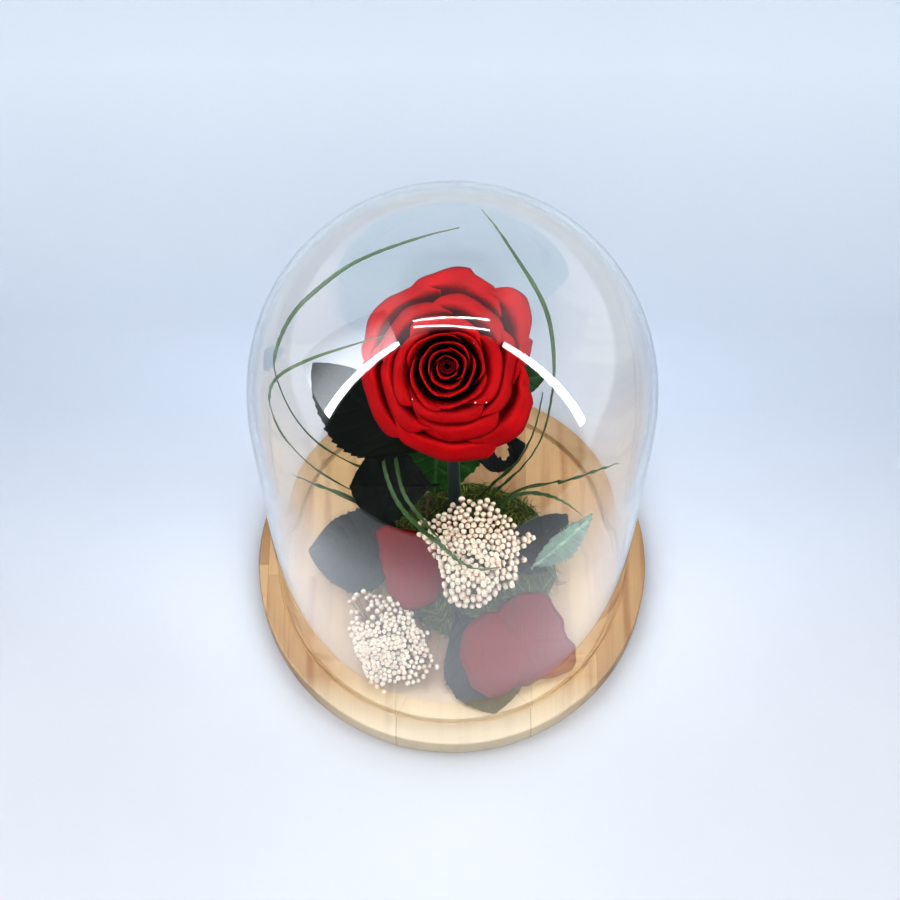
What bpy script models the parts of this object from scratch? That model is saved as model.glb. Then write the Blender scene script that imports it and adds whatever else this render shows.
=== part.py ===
"""Preserved rose under a glass dome, standing on a round wooden board.

The origin is the centre of the board's underside, +Z is up, and -Y is the front.
Every size below is in millimetres and becomes metres when a mesh is made.
"""

import math

import bpy
import numpy as np
from mathutils import Vector

MM = 0.001
GAP = 0.3

# Board and dome
BOARD_RADIUS = 75.0
BOARD_THICKNESS = 10.2
BOARD_ARRIS = 0.8
BOARD_STEPS = 40
GROOVE_DEPTH = 3.2
GROOVE_INNER = 63.6
GROOVE_OUTER = 67.2
DOME_RADIUS = 66.7
DOME_WALL = 1.8
DOME_SHOULDER = 155.8
DOME_STEPS = 40
DOME_ARC_POINTS = 6

# Stem, from its foot to the hip
STEM_RADIUS = 2.6
STEM_FOOT = (1.2, 16.1)
STEM_BOW = ((1.2, 16.3, 18.0), (0.6, 21.0, 45.0), (-0.8, 29.0, 75.0), (-1.6, 33.6, 94.0))
STEM_POINTS = 12

# Rose head: its centre, its tilt towards the front and its reach
HEAD_CENTRE = (-1.8, 16.3, 140.0)
HEAD_TILT = math.radians(25.0)
HEAD_RADIUS = 29.5
RECEPTACLE_RADIUS = 2.3
RECEPTACLE_TOP = -5.4
HIP_FOOT = -39.0
PETAL_THICKNESS = 0.32


def vector(x, y, z):
    return np.array((x, y, z), dtype=float)


# The head's own directions: across, up its face, and out of its face
HEAD_SIDE = vector(1.0, 0.0, 0.0)
HEAD_RISE = vector(0.0, math.cos(HEAD_TILT), math.sin(HEAD_TILT))
HEAD_AXIS = vector(0.0, -math.sin(HEAD_TILT), math.cos(HEAD_TILT))


def head_place(x, y, height):
    """Puts head coordinates, across, up the face and out of it, in the world."""
    x, y, height = (np.asarray(value, dtype=float)[..., None] for value in (x, y, height))
    return vector(*HEAD_CENTRE) + x * HEAD_SIDE + y * HEAD_RISE + height * HEAD_AXIS


def petal_meridian(girth, share):
    """Radius and height of a petal of this girth, at a share of the way from base to rim.

    A Bezier curve of five points: out from the receptacle, round the belly, and up to
    a rim that leans in on the bud and rolls out on the outer petals.
    """
    size = girth / HEAD_RADIUS
    base = -4.6 - 22.0 * size
    rim = 15.0 - 3.5 * np.exp(-girth / 4.0) - 0.033 * np.maximum(0.0, girth - 9.0) ** 2
    flare = 0.0185 * np.maximum(0.0, girth - 6.0) ** 2
    root = RECEPTACLE_RADIUS + 0.5
    belly = 1.06 * girth - flare
    radii = (
        root,
        root + 0.85 * (belly - root),
        1.06 * belly,
        belly,
        girth,
    )
    heights = (
        base,
        base + 0.6,
        base + 0.5 * (rim - base),
        rim - 1.0 + 0.25 * flare,
        rim,
    )
    blend = [math.comb(4, k) * share**k * (1.0 - share) ** (4 - k) for k in range(5)]
    radius = sum(weight * value for weight, value in zip(blend, radii))
    height = sum(weight * value for weight, value in zip(blend, heights))
    return radius, height


def bud_drop(girth, share):
    """How far the middle whorls lean down the head's face."""
    return -1.8 * np.sin(np.pi * np.clip(girth / 26.0, 0.0, 1.0)) * share


def outline_reach(outline, angle):
    """Distance from the middle to an outline given by angles in degrees and distances."""
    places, reaches = np.array(outline).T
    return np.interp(np.degrees(angle) % 360.0, places, reaches, period=360.0)


def head_point(girth, share, angle):
    """A point of the rose head: the meridian turned about the axis, its radius drawn towards
    the head's outline the more, the nearer it is to the outer rim."""
    radius, height = petal_meridian(girth, share)
    reach = outline_reach(HEAD_OUTLINE, angle) / OUTER_GIRTH
    outward = np.clip(radius / HEAD_RADIUS, 0.0, 1.1) ** 3
    radius = radius * (1.0 + outward * (reach - 1.0))
    return head_place(radius * np.cos(angle), radius * np.sin(angle) + bud_drop(girth, share), height)


def petal_grid(girth, centre, span, twist, round_off, columns, rows):
    """Grid of points of one petal. It is narrow at its base, its girth grows from one side
    to the other by twist so that it tucks under its neighbour, and its rim falls at the sides."""
    across, up = np.meshgrid(np.linspace(-1.0, 1.0, columns + 1), np.linspace(0.0, 1.0, rows + 1))
    width = 0.32 + 0.68 * np.sin(0.5 * np.pi * np.clip(up / 0.65, 0.0, 1.0))
    turn = across * 0.5 * span * width
    share = up * (1.0 - round_off * np.abs(across) ** 3)
    return head_point(girth + twist * turn / span, share, centre + turn)


def clear_scene():
    for item in list(bpy.data.objects):
        bpy.data.objects.remove(item, do_unlink=True)


def material(name, colour, roughness, metallic=0.0, transmission=0.0):
    made = bpy.data.materials.new(name)
    made.use_nodes = True
    shader = made.node_tree.nodes["Principled BSDF"]
    shader.inputs["Base Color"].default_value = (*colour, 1.0)
    shader.inputs["Roughness"].default_value = roughness
    shader.inputs["Metallic"].default_value = metallic
    shader.inputs["Transmission Weight"].default_value = transmission
    return made


def add_object(name, data, look):
    item = bpy.data.objects.new(name, data)
    bpy.context.scene.collection.objects.link(item)
    data.materials.append(look)
    return item


def mesh_object(name, points, edges, faces, look):
    mesh = bpy.data.meshes.new(name)
    mesh.from_pydata((np.asarray(points) * MM).tolist(), edges, faces)
    mesh.shade_smooth()
    return add_object(name, mesh, look)


def turned(name, profile, steps, look):
    """A round body: the profile's (radius, height) points, from the axis on top to the axis
    below, turned about the upright axis."""
    points = [(radius, 0.0, height) for radius, height in profile]
    edges = [(k, k + 1) for k in range(len(points) - 1)]
    item = mesh_object(name, points, edges, [], look)
    screw = item.modifiers.new("turn", "SCREW")
    screw.axis = "Z"
    screw.steps = screw.render_steps = steps
    screw.use_merge_vertices = True
    screw.merge_threshold = 0.00001
    return item


def sheet(name, grid, thickness, look, holes=()):
    """A thin closed body: a grid of points given a thickness. Each of holes is the (row,
    column) of a grid cell that is left out."""
    rows, columns = grid.shape[0] - 1, grid.shape[1] - 1
    faces = []
    for row in range(rows):
        for column in range(columns):
            if (row, column) in holes:
                continue
            corner = row * (columns + 1) + column
            faces.append((corner, corner + 1, corner + columns + 2, corner + columns + 1))
    item = mesh_object(name, grid.reshape(-1, 3), [], faces, look)
    solid = item.modifiers.new("thickness", "SOLIDIFY")
    solid.thickness = thickness * MM
    solid.offset = 0.0
    solid.use_even_offset = True
    return item


def ringed(name, rings, bottom, top, look):
    """A closed body from rings of points, one above the other, with an end point each way."""
    count = len(rings[0])
    points = [bottom] + [point for ring in rings for point in ring] + [top]
    last = len(points) - 1
    faces = [(0, 1 + (k + 1) % count, 1 + k) for k in range(count)]
    for ring in range(len(rings) - 1):
        low = 1 + ring * count
        for k in range(count):
            after = (k + 1) % count
            faces.append((low + k, low + after, low + count + after, low + count + k))
    low = last - count
    faces += [(low + k, low + (k + 1) % count, last) for k in range(count)]
    return mesh_object(name, points, [], faces, look)


def smooth_path(points, count):
    """Evenly numbered points on a Catmull-Rom curve through the given ones."""
    points = np.asarray(points, dtype=float)
    ends = np.vstack((2 * points[0] - points[1], points, 2 * points[-1] - points[-2]))
    where = np.linspace(0.0, len(points) - 1.0, count)
    span = np.minimum(where.astype(int), len(points) - 2)
    t = (where - span)[:, None]
    before, start, end, after = (ends[span + k] for k in range(4))
    return 0.5 * (
        2 * start
        + (end - before) * t
        + (2 * before - 5 * start + 4 * end - after) * t**2
        + (3 * start - before - 3 * end + after) * t**3
    )


def tube(name, path, radii, sides, look, last_way=None):
    """A round bar along a path, its radius changing from point to point. Its far end is
    square to last_way, if that is given."""
    rings = []
    for k, centre in enumerate(path):
        along = path[min(k + 1, len(path) - 1)] - path[max(k - 1, 0)]
        if last_way is not None and k == len(path) - 1:
            along = last_way
        frame = Vector(along).to_track_quat("Z", "Y").to_matrix()
        ring = []
        for side in range(sides):
            angle = 2.0 * math.pi * side / sides
            offset = frame @ Vector((math.cos(angle), math.sin(angle), 0.0)) * radii[k]
            ring.append(centre + np.array(offset))
        rings.append(ring)
    return ringed(name, rings, path[0], path[-1], look)


# Board and dome pieces


def make_board():
    floor = BOARD_THICKNESS - GROOVE_DEPTH
    profile = (
        (0.0, BOARD_THICKNESS),
        (GROOVE_INNER, BOARD_THICKNESS),
        (GROOVE_INNER, floor),
        (GROOVE_OUTER, floor),
        (GROOVE_OUTER, BOARD_THICKNESS),
        (BOARD_RADIUS - BOARD_ARRIS, BOARD_THICKNESS),
        (BOARD_RADIUS, BOARD_THICKNESS - BOARD_ARRIS),
        (BOARD_RADIUS, BOARD_ARRIS),
        (BOARD_RADIUS - BOARD_ARRIS, 0.0),
        (0.0, 0.0),
    )
    item = turned("base_board", profile, BOARD_STEPS, material("pine", (0.72, 0.52, 0.30), 0.55))
    item.data.set_sharp_from_angle(angle=math.radians(30.0))


def dome_arc(radius):
    """A quarter circle from the top of the dome down to its shoulder."""
    turns = [0.5 * math.pi * k / DOME_ARC_POINTS for k in range(DOME_ARC_POINTS + 1)]
    return [(radius * math.sin(turn), DOME_SHOULDER + radius * math.cos(turn)) for turn in turns]


def make_dome():
    inner = DOME_RADIUS - DOME_WALL
    rim = BOARD_THICKNESS - GROOVE_DEPTH + GAP
    profile = dome_arc(DOME_RADIUS) + [(DOME_RADIUS, rim), (inner, rim)] + dome_arc(inner)[::-1]
    turned("glass_dome", profile, DOME_STEPS, material("glass", (1.0, 1.0, 1.0), 0.0, 0.0, 1.0))


# Rose pieces

# Whorls of the head: girth, petals, span in degrees, first petal's place in degrees, how
# much wider a petal is than the one it tucks under, how far its rim falls at the sides,
# columns and rows
WHORLS = (
    (3.6, 2, 228.0, 70.0, 0.80, 0.10, 9, 3),
    (6.1, 3, 170.0, 20.0, 0.85, 0.10, 8, 3),
    (8.8, 3, 164.0, 80.0, 0.95, 0.12, 8, 3),
    (12.6, 4, 132.0, 35.0, 1.20, 0.14, 7, 3),
    (17.6, 4, 126.0, 88.0, 1.60, 0.16, 7, 4),
    (22.8, 5, 102.0, 64.0, 1.70, 0.18, 6, 4),
)
# The outermost petals, each by its own place and span in degrees
OUTER_GIRTH = 28.6
OUTER_PETALS = ((84.0, 84.0), (140.0, 90.0), (203.0, 92.0), (268.0, 92.0), (325.0, 86.0), (26.0, 84.0))
OUTER_WHORL = (1.80, 0.18, 7, 4)
# The head's outline seen along its axis: angle in degrees and radius in millimetres
HEAD_OUTLINE = (
    (0.0, 27.0), (14.0, 29.4), (28.0, 31.5), (41.0, 33.2), (57.0, 32.0), (77.0, 32.7), (90.0, 31.6),
    (112.0, 29.5), (130.0, 31.0), (150.0, 29.8), (163.0, 27.4), (202.0, 27.9), (233.0, 30.2),
    (260.0, 29.9), (294.0, 33.2), (320.0, 32.5), (337.0, 30.6), (345.0, 27.2),
)
# The rolled bud: its turns, the radius where it starts and its growth with each turn
BUD_TURNS = 2.1
BUD_CORE = 0.75
BUD_PITCH = 0.74
BUD_HEIGHT = 16.6


def petal_colour(depth):
    return (0.46 - 0.16 * depth, 0.002, 0.004)


def make_petals():
    """Every petal from the bud outwards, numbered in that order."""
    plan = []
    for girth, count, span, first, *shape in WHORLS:
        for k in range(count):
            plan.append((girth, count, first + 360.0 * k / count, span, *shape))
    for centre, span in OUTER_PETALS:
        plan.append((OUTER_GIRTH, len(OUTER_PETALS), centre, span, *OUTER_WHORL))
    for number, (girth, count, centre, span, step, round_off, columns, rows) in enumerate(plan, start=2):
        look = material(f"petal_{number:02d}", petal_colour(1.0 - girth / HEAD_RADIUS), 0.6)
        twist = step * span * count / 360.0
        grid = petal_grid(
            girth, math.radians(centre), math.radians(span), twist, round_off, columns, rows
        )
        sheet(f"rose_petal_{number:02d}", grid, PETAL_THICKNESS, look)


def make_bud():
    """The innermost petal, rolled up on top of the receptacle."""
    turns = np.linspace(0.0, 1.0, 15)
    angle = turns * 2.0 * math.pi * BUD_TURNS
    radius = BUD_CORE + BUD_PITCH * BUD_TURNS * turns
    rows = []
    for share in (0.0, 0.5, 1.0):
        height = (RECEPTACLE_TOP + 0.8) + (BUD_HEIGHT - 1.2 * (1.0 - turns)) * share
        y = radius * np.sin(angle) + bud_drop(radius, share)
        rows.append(head_place(radius * np.cos(angle), y, height))
    sheet("rose_petal_01", np.stack(rows), PETAL_THICKNESS, material("petal_01", petal_colour(1.0), 0.6))


# Sepals under the head, the height where they leave the hip
SEPAL_COUNT = 5
SEPAL_LENGTH = 15.0
SEPAL_THICKNESS = 0.9
SEPAL_HEIGHT = -29.2


def make_calyx():
    """The hip, five pointed sepals spread under the petals, and the receptacle inside them."""
    steps = 4 * SEPAL_COUNT
    angle = 2.0 * math.pi * np.arange(steps) / steps
    star = (0.5 + 0.5 * np.cos(SEPAL_COUNT * angle)) ** 1.6
    reach = 5.4 + SEPAL_LENGTH * star
    fall = SEPAL_HEIGHT - 4.5 * star**2
    even = np.ones(steps)
    rings = (
        (STEM_RADIUS * even, HIP_FOOT * even),
        (4.6 * even, (HIP_FOOT + 3.0) * even),
        (5.2 * even, (SEPAL_HEIGHT - 1.6) * even),
        (reach, fall - SEPAL_THICKNESS),
        (reach, fall),
        (4.4 * even, (SEPAL_HEIGHT + 1.0) * even),
        (RECEPTACLE_RADIUS * even, (SEPAL_HEIGHT + 1.8) * even),
        (RECEPTACLE_RADIUS * even, (RECEPTACLE_TOP - 0.4) * even),
    )
    placed = [head_place(r * np.cos(angle), r * np.sin(angle), h) for r, h in rings]
    bottom = head_place(0.0, 0.0, HIP_FOOT)
    top = head_place(0.0, 0.0, RECEPTACLE_TOP)
    ringed("calyx", placed, bottom, top, material("sepal", (0.03, 0.07, 0.025), 0.6))


def stem_path():
    """Straight up from the foot, bowed to the back, and forward into the hip."""
    foot = vector(*STEM_FOOT, BOARD_THICKNESS + GAP)
    top = head_place(0.0, 0.0, HIP_FOOT - GAP)
    return smooth_path([foot, *STEM_BOW, top], STEM_POINTS)


def make_stem():
    look = material("stem_bark", (0.012, 0.022, 0.018), 0.5)
    tube("stem", stem_path(), [STEM_RADIUS] * STEM_POINTS, 8, look, HEAD_AXIS)


# Leaves

LEAF_DARK = (0.006, 0.014, 0.008)
LEAF_GREEN = (0.018, 0.055, 0.018)
LEAF_PALE = (0.10, 0.20, 0.11)
LEAF_THICKNESS = 0.5
LEAF_ROWS = 10
TOOTH_DEPTH = 0.07
# Each leaf: base, tip, half widths to either side, the way its upper side faces, then its
# arch, fold, cup, length of stalk and where it is widest, its colour, the sides of its grid
# and the cells left out of it
WHOLE = (-1.0, 0.0, 1.0)
TORN = (-1.0, -0.5, 0.0, 0.5, 1.0)
TORN_CELLS = ((5, 1), (5, 2), (6, 1), (6, 2))
LEAVES = {
    "leaf_upper_left": (
        (-4.4, 22.5, 58.0), (-49.4, 32.4, 111.0), (16.0, 19.0), (0.15, -0.90, 0.40),
        (4.0, 0.06, 0.0, 0.10, 0.90), LEAF_DARK, WHOLE, (),
    ),
    "leaf_lower_left": (
        (-4.6, 17.5, 39.5), (-38.5, 8.2, 57.5), (11.5, 14.5), (0.1, -0.6, 0.8),
        (3.0, 0.06, 0.0, 0.10, 0.80), LEAF_DARK, WHOLE, (),
    ),
    "leaf_behind_stem": (
        (-4.6, 33.5, 82.0), (-7.0, 23.5, 17.5), (21.0, 20.0), (0.0, -1.0, 0.15),
        (-2.0, 0.03, 0.0, 0.10, 0.90), LEAF_GREEN, WHOLE, (),
    ),
    "leaf_right_of_rose": (
        (2.6, 32.5, 94.0), (33.5, 33.0, 101.0), (9.0, 9.0), (0.0, -0.5, 0.9),
        (2.0, 0.12, 0.0, 0.12, 0.80), LEAF_GREEN, WHOLE, (),
    ),
    "leaf_with_hole": (
        (6.5, 20.5, 60.0), (27.0, 20.0, 71.0), (8.0, 8.0), (0.0, -0.6, 0.8),
        (1.5, 0.10, 0.05, 0.12, 0.80), LEAF_DARK, TORN, TORN_CELLS,
    ),
    "leaf_on_board_left": (
        (-17.5, -1.5, 18.0), (-56.0, 2.0, 15.2), (16.5, 16.5), (0.0, 0.0, 1.0),
        (1.5, -0.06, 0.0, 0.05, 0.80), LEAF_DARK, WHOLE, (),
    ),
    "leaf_on_board_right": (
        (21.5, -12.5, 20.5), (47.0, 14.0, 15.0), (10.0, 10.0), (0.0, 0.0, 1.0),
        (1.5, -0.05, 0.0, 0.06, 0.90), LEAF_DARK, WHOLE, (),
    ),
    "leaf_pale_right": (
        (31.0, -10.5, 22.0), (57.5, 9.3, 25.5), (4.6, 4.6), (0.3, -0.5, 0.8),
        (2.0, 0.05, 0.0, 0.06, 0.90), LEAF_PALE, WHOLE, (),
    ),
    "leaf_on_board_front": (
        (0.5, -21.0, 20.0), (16.0, -61.8, 11.9), (12.5, 20.5), (0.0, 0.0, 1.0),
        (-1.2, -0.02, 0.0, 0.08, 1.35), LEAF_DARK, WHOLE, (),
    ),
}


def leaf_grid(base, tip, half_widths, face, form, sides):
    """A rose leaf: a narrow stalk, then a blade whose half width follows a lopsided sine,
    with teeth along its edge. It arches along its length and folds up along its midrib."""
    arch, fold, cup, stalk, widest = form
    along = vector(*tip) - vector(*base)
    length = np.linalg.norm(along)
    along = along / length
    aside = np.cross(vector(*face), along)
    aside = aside / np.linalg.norm(aside)
    upward = np.cross(along, aside)
    share, side = np.meshgrid(np.linspace(0.0, 1.0, LEAF_ROWS + 1), sides, indexing="ij")
    blade = np.clip((share - stalk) / (1.0 - stalk), 0.0, 1.0)
    width = np.where(side < 0.0, *half_widths) * np.sin(np.pi * blade**widest) ** 0.75
    tooth = np.where(np.arange(LEAF_ROWS + 1) % 2 == 0, -TOOTH_DEPTH, TOOTH_DEPTH)[:, None]
    width = np.maximum(width * (1.0 + tooth * (np.abs(side) > 0.9)), 0.6)
    height = arch * np.sin(np.pi * share) + (fold * np.abs(side) - cup * side**2) * width
    return (
        vector(*base)
        + (share * length)[..., None] * along
        + (side * width)[..., None] * aside
        + height[..., None] * upward
    )


def make_leaves():
    for name, (base, tip, half_widths, face, form, colour, sides, holes) in LEAVES.items():
        grid = leaf_grid(base, tip, half_widths, face, form, sides)
        sheet(name, grid, LEAF_THICKNESS, material(name, colour, 0.45), holes)


# Moss

MOSS_CENTRE = (7.0, -1.0)
MOSS_HALF_SIZES = (35.0, 32.0)
MOSS_HEIGHT = 9.0
MOSS_STEPS = 22
MOSS_RINGS = 5
STEM_HOLE_RADIUS = 3.3


def moss_height(x, y):
    """Height of the moss above the board: a low dome with lumps of a few millimetres."""
    away_x = (x - MOSS_CENTRE[0]) / MOSS_HALF_SIZES[0]
    away_y = (y - MOSS_CENTRE[1]) / MOSS_HALF_SIZES[1]
    dome = np.clip(1.0 - away_x**2 - away_y**2, 0.0, 1.0) ** 0.6
    lump = np.sin(0.42 * x + 1.0) * np.sin(0.37 * y) + 0.6 * np.sin(0.5 * (x + y))
    return MOSS_HEIGHT * dome + 0.6 * lump * np.sqrt(dome)


def make_moss():
    """A low mound on the board, lumpy on top and flat below, pierced by the stem."""
    floor = BOARD_THICKNESS + GAP
    angle = 2.0 * math.pi * np.arange(MOSS_STEPS) / MOSS_STEPS
    rings = []
    for k in range(-1, MOSS_RINGS):
        reach = (1.0 - max(k, 0) / MOSS_RINGS) * (0.98 + 0.03 * np.sin(4.0 * angle + 1.0))
        x = MOSS_CENTRE[0] + MOSS_HALF_SIZES[0] * reach * np.cos(angle)
        y = MOSS_CENTRE[1] + MOSS_HALF_SIZES[1] * reach * np.sin(angle)
        rise = 0.0 * angle if k < 0 else np.maximum(moss_height(x, y), 0.9)
        rings.append(np.stack((x, y, floor + rise), axis=-1))
    bottom = vector(*MOSS_CENTRE, floor)
    top = vector(*MOSS_CENTRE, floor + moss_height(*MOSS_CENTRE))
    mound = ringed("moss_mound", rings, bottom, top, material("moss", (0.09, 0.10, 0.02), 0.95))
    ends = [vector(*STEM_FOOT, height) for height in (5.0, 30.0)]
    cutter = tube("stem_hole", ends, [STEM_HOLE_RADIUS] * 2, 10, material("cutter", (0.5, 0.5, 0.5), 0.5))
    cutter.hide_render = True
    cutter.display_type = "WIRE"
    cut = mound.modifiers.new("stem_hole", "BOOLEAN")
    cut.operation = "DIFFERENCE"
    cut.solver = "EXACT"
    cut.object = cutter


def on_moss(x, y):
    """A place just above the moss, or above the board beside it."""
    return x, y, BOARD_THICKNESS + GAP + float(moss_height(x, y)) + 1.0


# Grass blades: route from the root in the moss to the tip, and greatest width

GRASS_THICKNESS = 0.4
GRASS_BLADES = (
    (1.9, (
        on_moss(-9.0, 17.5), (-24.0, 19.0, 42.0), (-44.0, 13.0, 76.0), (-55.5, 13.0, 106.0),
        (-59.5, 14.5, 132.0), (-59.0, 14.0, 150.0), (-52.0, 19.5, 168.0), (-41.5, 22.0, 182.0),
        (-29.0, 27.5, 190.0), (-8.0, 36.0, 190.5), (2.0, 41.0, 187.0),
    )),
    (1.2, (
        on_moss(-10.0, 14.0), (-34.0, 12.5, 38.0), (-48.0, 8.5, 68.0), (-57.5, 6.5, 95.0),
        (-61.0, 4.5, 118.0), (-61.5, 3.5, 138.0), (-58.0, 5.5, 152.0), (-45.6, 5.5, 165.0),
        (-35.5, 5.5, 172.0), (-26.0, 7.5, 174.5), (-17.5, 10.5, 174.0),
    )),
    (1.9, (
        on_moss(-10.0, 10.5), (-20.0, 9.0, 27.0), (-31.0, 7.0, 40.0), (-41.0, 7.0, 52.0),
        (-52.0, 6.5, 63.0), (-60.5, 5.5, 73.0),
    )),
    (1.8, (
        on_moss(-12.0, 19.5), (-24.5, 27.5, 40.0), (-26.0, 25.0, 56.0), (-25.5, 14.5, 62.0),
        (-21.0, 2.0, 60.0), (-15.0, -5.0, 57.0), (-9.8, -9.5, 54.5), (-2.8, -14.5, 52.0),
        (2.8, -19.5, 50.6), (10.5, -22.0, 49.6), (18.0, -20.5, 48.5),
    )),
    (1.6, (
        on_moss(-9.5, 20.5), (-20.5, 24.8, 38.0), (-21.8, 24.5, 56.5), (-20.5, 14.5, 61.5),
        (-18.0, 3.5, 62.0), (-12.4, -4.2, 60.5), (-6.4, -10.8, 57.0), (-4.0, -13.5, 55.5),
    )),
    (1.8, (
        on_moss(13.0, 17.5), (16.5, 18.6, 30.0), (26.0, 17.5, 55.0), (32.2, 15.5, 85.0),
        (33.8, 14.5, 118.0), (33.6, 14.0, 144.0), (31.0, 18.0, 168.0), (26.4, 24.0, 178.0),
        (19.6, 30.5, 187.0), (14.0, 38.0, 191.0), (9.0, 45.0, 191.5),
    )),
    (1.5, (
        on_moss(10.5, 20.5), (15.0, 21.0, 31.0), (24.0, 21.0, 51.0), (29.6, 22.0, 76.0),
        (31.2, 21.0, 102.0), (31.4, 19.8, 114.0),
    )),
    (1.5, (
        on_moss(15.5, 15.0), (26.5, 19.0, 32.0), (40.0, 12.5, 52.0), (53.0, 7.0, 75.0),
        (61.0, 1.2, 94.0),
    )),
    (1.5, (
        on_moss(17.0, 12.0), (22.0, 16.0, 28.0), (29.5, 16.5, 34.0), (41.0, 11.8, 38.5),
        (51.5, 5.5, 35.0),
    )),
)


def blade_grid(width, route):
    """A grass blade: a flat strip along its route, facing away from the dome's axis, its
    width a half sine drawn out towards the tip."""
    rows = int(1.7 * len(route))
    path = smooth_path(route, rows)
    along = np.gradient(path, axis=0)
    along = along / np.linalg.norm(along, axis=1)[:, None]
    outward = path * (1.0, 1.0, 0.0) + (0.0, 0.0, 25.0)
    aside = np.cross(outward, along)
    aside = aside / np.linalg.norm(aside, axis=1)[:, None]
    share = np.linspace(0.0, 1.0, rows)
    half = 0.5 * width * np.maximum(np.sin(np.pi * (0.12 + 0.88 * share) ** 1.2), 0.22)
    return np.stack((path - half[:, None] * aside, path + half[:, None] * aside), axis=1)


def make_grass():
    look = material("grass", (0.07, 0.15, 0.035), 0.5)
    for number, (width, route) in enumerate(GRASS_BLADES, start=1):
        sheet(f"grass_blade_{number:02d}", blade_grid(width, route), GRASS_THICKNESS, look)


# Rice flower heads: centre, height, the way each faces, the place of its stalk's foot, and
# its outline as angles in degrees and distances from the centre

RICE_FLOWERS = {
    "rice_flower_centre": (
        (7.5, -9.5, 37.5), 11.0, (0.0, -0.35, 0.94), on_moss(7.0, -3.0),
        (
            (15.0, 18.6), (34.0, 19.0), (51.0, 18.0), (64.0, 19.7), (100.0, 22.0), (121.0, 16.7),
            (132.0, 17.8), (157.0, 24.9), (176.0, 16.5), (199.0, 12.2), (219.0, 13.4), (241.0, 18.3),
            (277.0, 18.3), (309.0, 15.6), (325.0, 19.0), (355.0, 17.7),
        ),
    ),
    "rice_flower_left": (
        (-24.5, -38.0, 18.0), 6.5, (0.0, -0.1, 1.0), (-16.0, -28.0, 12.6),
        (
            (5.0, 13.4), (17.0, 14.7), (35.0, 12.9), (53.0, 14.0), (78.0, 19.1), (100.0, 20.1),
            (124.0, 23.9), (142.0, 18.2), (167.0, 11.9), (191.0, 10.9), (218.0, 9.7), (250.0, 14.4),
            (264.0, 15.5), (280.0, 12.9), (305.0, 16.9), (334.0, 19.0), (358.0, 15.6),
        ),
    ),
}
BUD_STEPS = 20
BUD_RINGS = 8
BUD_SWELL = 0.10


def facing_axes(facing):
    """Three directions at right angles, the last of them the given one."""
    up = vector(*facing)
    up = up / np.linalg.norm(up)
    across = np.cross(vector(0.0, 1.0, 0.0), up)
    across = across / np.linalg.norm(across)
    return np.stack((across, np.cross(up, across), up))


def make_rice_flowers():
    """Each head is one nubby body: a low dome with staggered points that stand out as buds,
    on a stalk that narrows to its foot."""
    look = material("dried_buds", (0.80, 0.70, 0.58), 0.8)
    angle = 2.0 * math.pi * np.arange(BUD_STEPS) / BUD_STEPS
    for name, (centre, head_height, facing, foot, outline) in RICE_FLOWERS.items():
        reach = outline_reach(outline, angle)
        axes = facing_axes(facing)
        rings = []
        for share, radius in ((0.8, 1.1), (0.35, 2.2)):
            middle = vector(*foot) * share + vector(*centre) * (1.0 - share)
            circle = np.stack((radius * np.cos(angle), radius * np.sin(angle), 0.0 * angle), axis=-1)
            rings.append(middle + circle @ axes)
        for k in range(BUD_RINGS):
            polar = 0.5 * math.pi * (1.0 - k / BUD_RINGS)
            stands_out = (k % 2 == 1) & ((np.arange(BUD_STEPS) + k // 2) % 2 == 0)
            bud = 1.0 + BUD_SWELL * np.where(stands_out, 0.6, -0.4)
            ray = np.stack(
                (
                    math.sin(polar) * np.cos(angle) * reach,
                    math.sin(polar) * np.sin(angle) * reach,
                    np.full(BUD_STEPS, math.cos(polar) * head_height),
                ),
                axis=-1,
            )
            rings.append(vector(*centre) + (ray * bud[:, None]) @ axes)
        top = vector(*centre) + vector(0.0, 0.0, head_height) @ axes
        ringed(name, rings, vector(*foot), top, look)


# Twig and loose petals

TWIG_ROUTE = (on_moss(-9.5, 13.0), (-9.8, 14.5, 24.0), (-9.0, 17.0, 31.0))
TWIG_RADII = (0.8, 0.7, 0.6, 0.5)


def make_twig():
    path = smooth_path(TWIG_ROUTE, len(TWIG_RADII))
    tube("dry_twig", path, TWIG_RADII, 6, material("twig_bark", (0.20, 0.10, 0.04), 0.8))


# Each loose petal: its middle, the way its upper side faces, how far its middle stands up, how
# far its far edge curls, and its outline as angles in degrees and distances from the middle
LOOSE_PETALS = {
    "fallen_petal_left": (
        (-17.5, -8.3, 22.4), (-0.12, 0.0, 1.0), 2.5, 1.5,
        (
            (0.0, 16.0), (20.0, 14.0), (39.0, 12.8), (74.0, 12.3), (101.0, 13.3), (117.0, 17.0),
            (135.0, 18.5), (149.0, 13.4), (174.0, 10.7), (207.0, 9.6), (235.0, 11.6), (257.0, 13.9),
            (270.0, 16.4), (296.0, 17.2), (324.0, 17.5), (340.0, 16.5),
        ),
    ),
    "fallen_petal_right": (
        (25.4, -36.6, 16.8), (0.08, -0.07, 1.0), 5.0, 0.5,
        (
            (0.0, 20.3), (8.0, 18.0), (20.0, 17.9), (31.0, 19.2), (52.0, 20.5), (62.0, 22.4),
            (71.0, 22.0), (83.0, 20.2), (123.0, 15.2), (161.0, 20.7), (188.0, 22.9), (205.0, 23.2),
            (223.0, 24.6), (242.0, 23.8), (264.0, 16.4), (301.0, 15.0), (334.0, 20.8), (344.0, 21.6),
        ),
    ),
}
LOOSE_PETAL_THICKNESS = 0.6
LOOSE_PETAL_CELLS = 5


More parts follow.
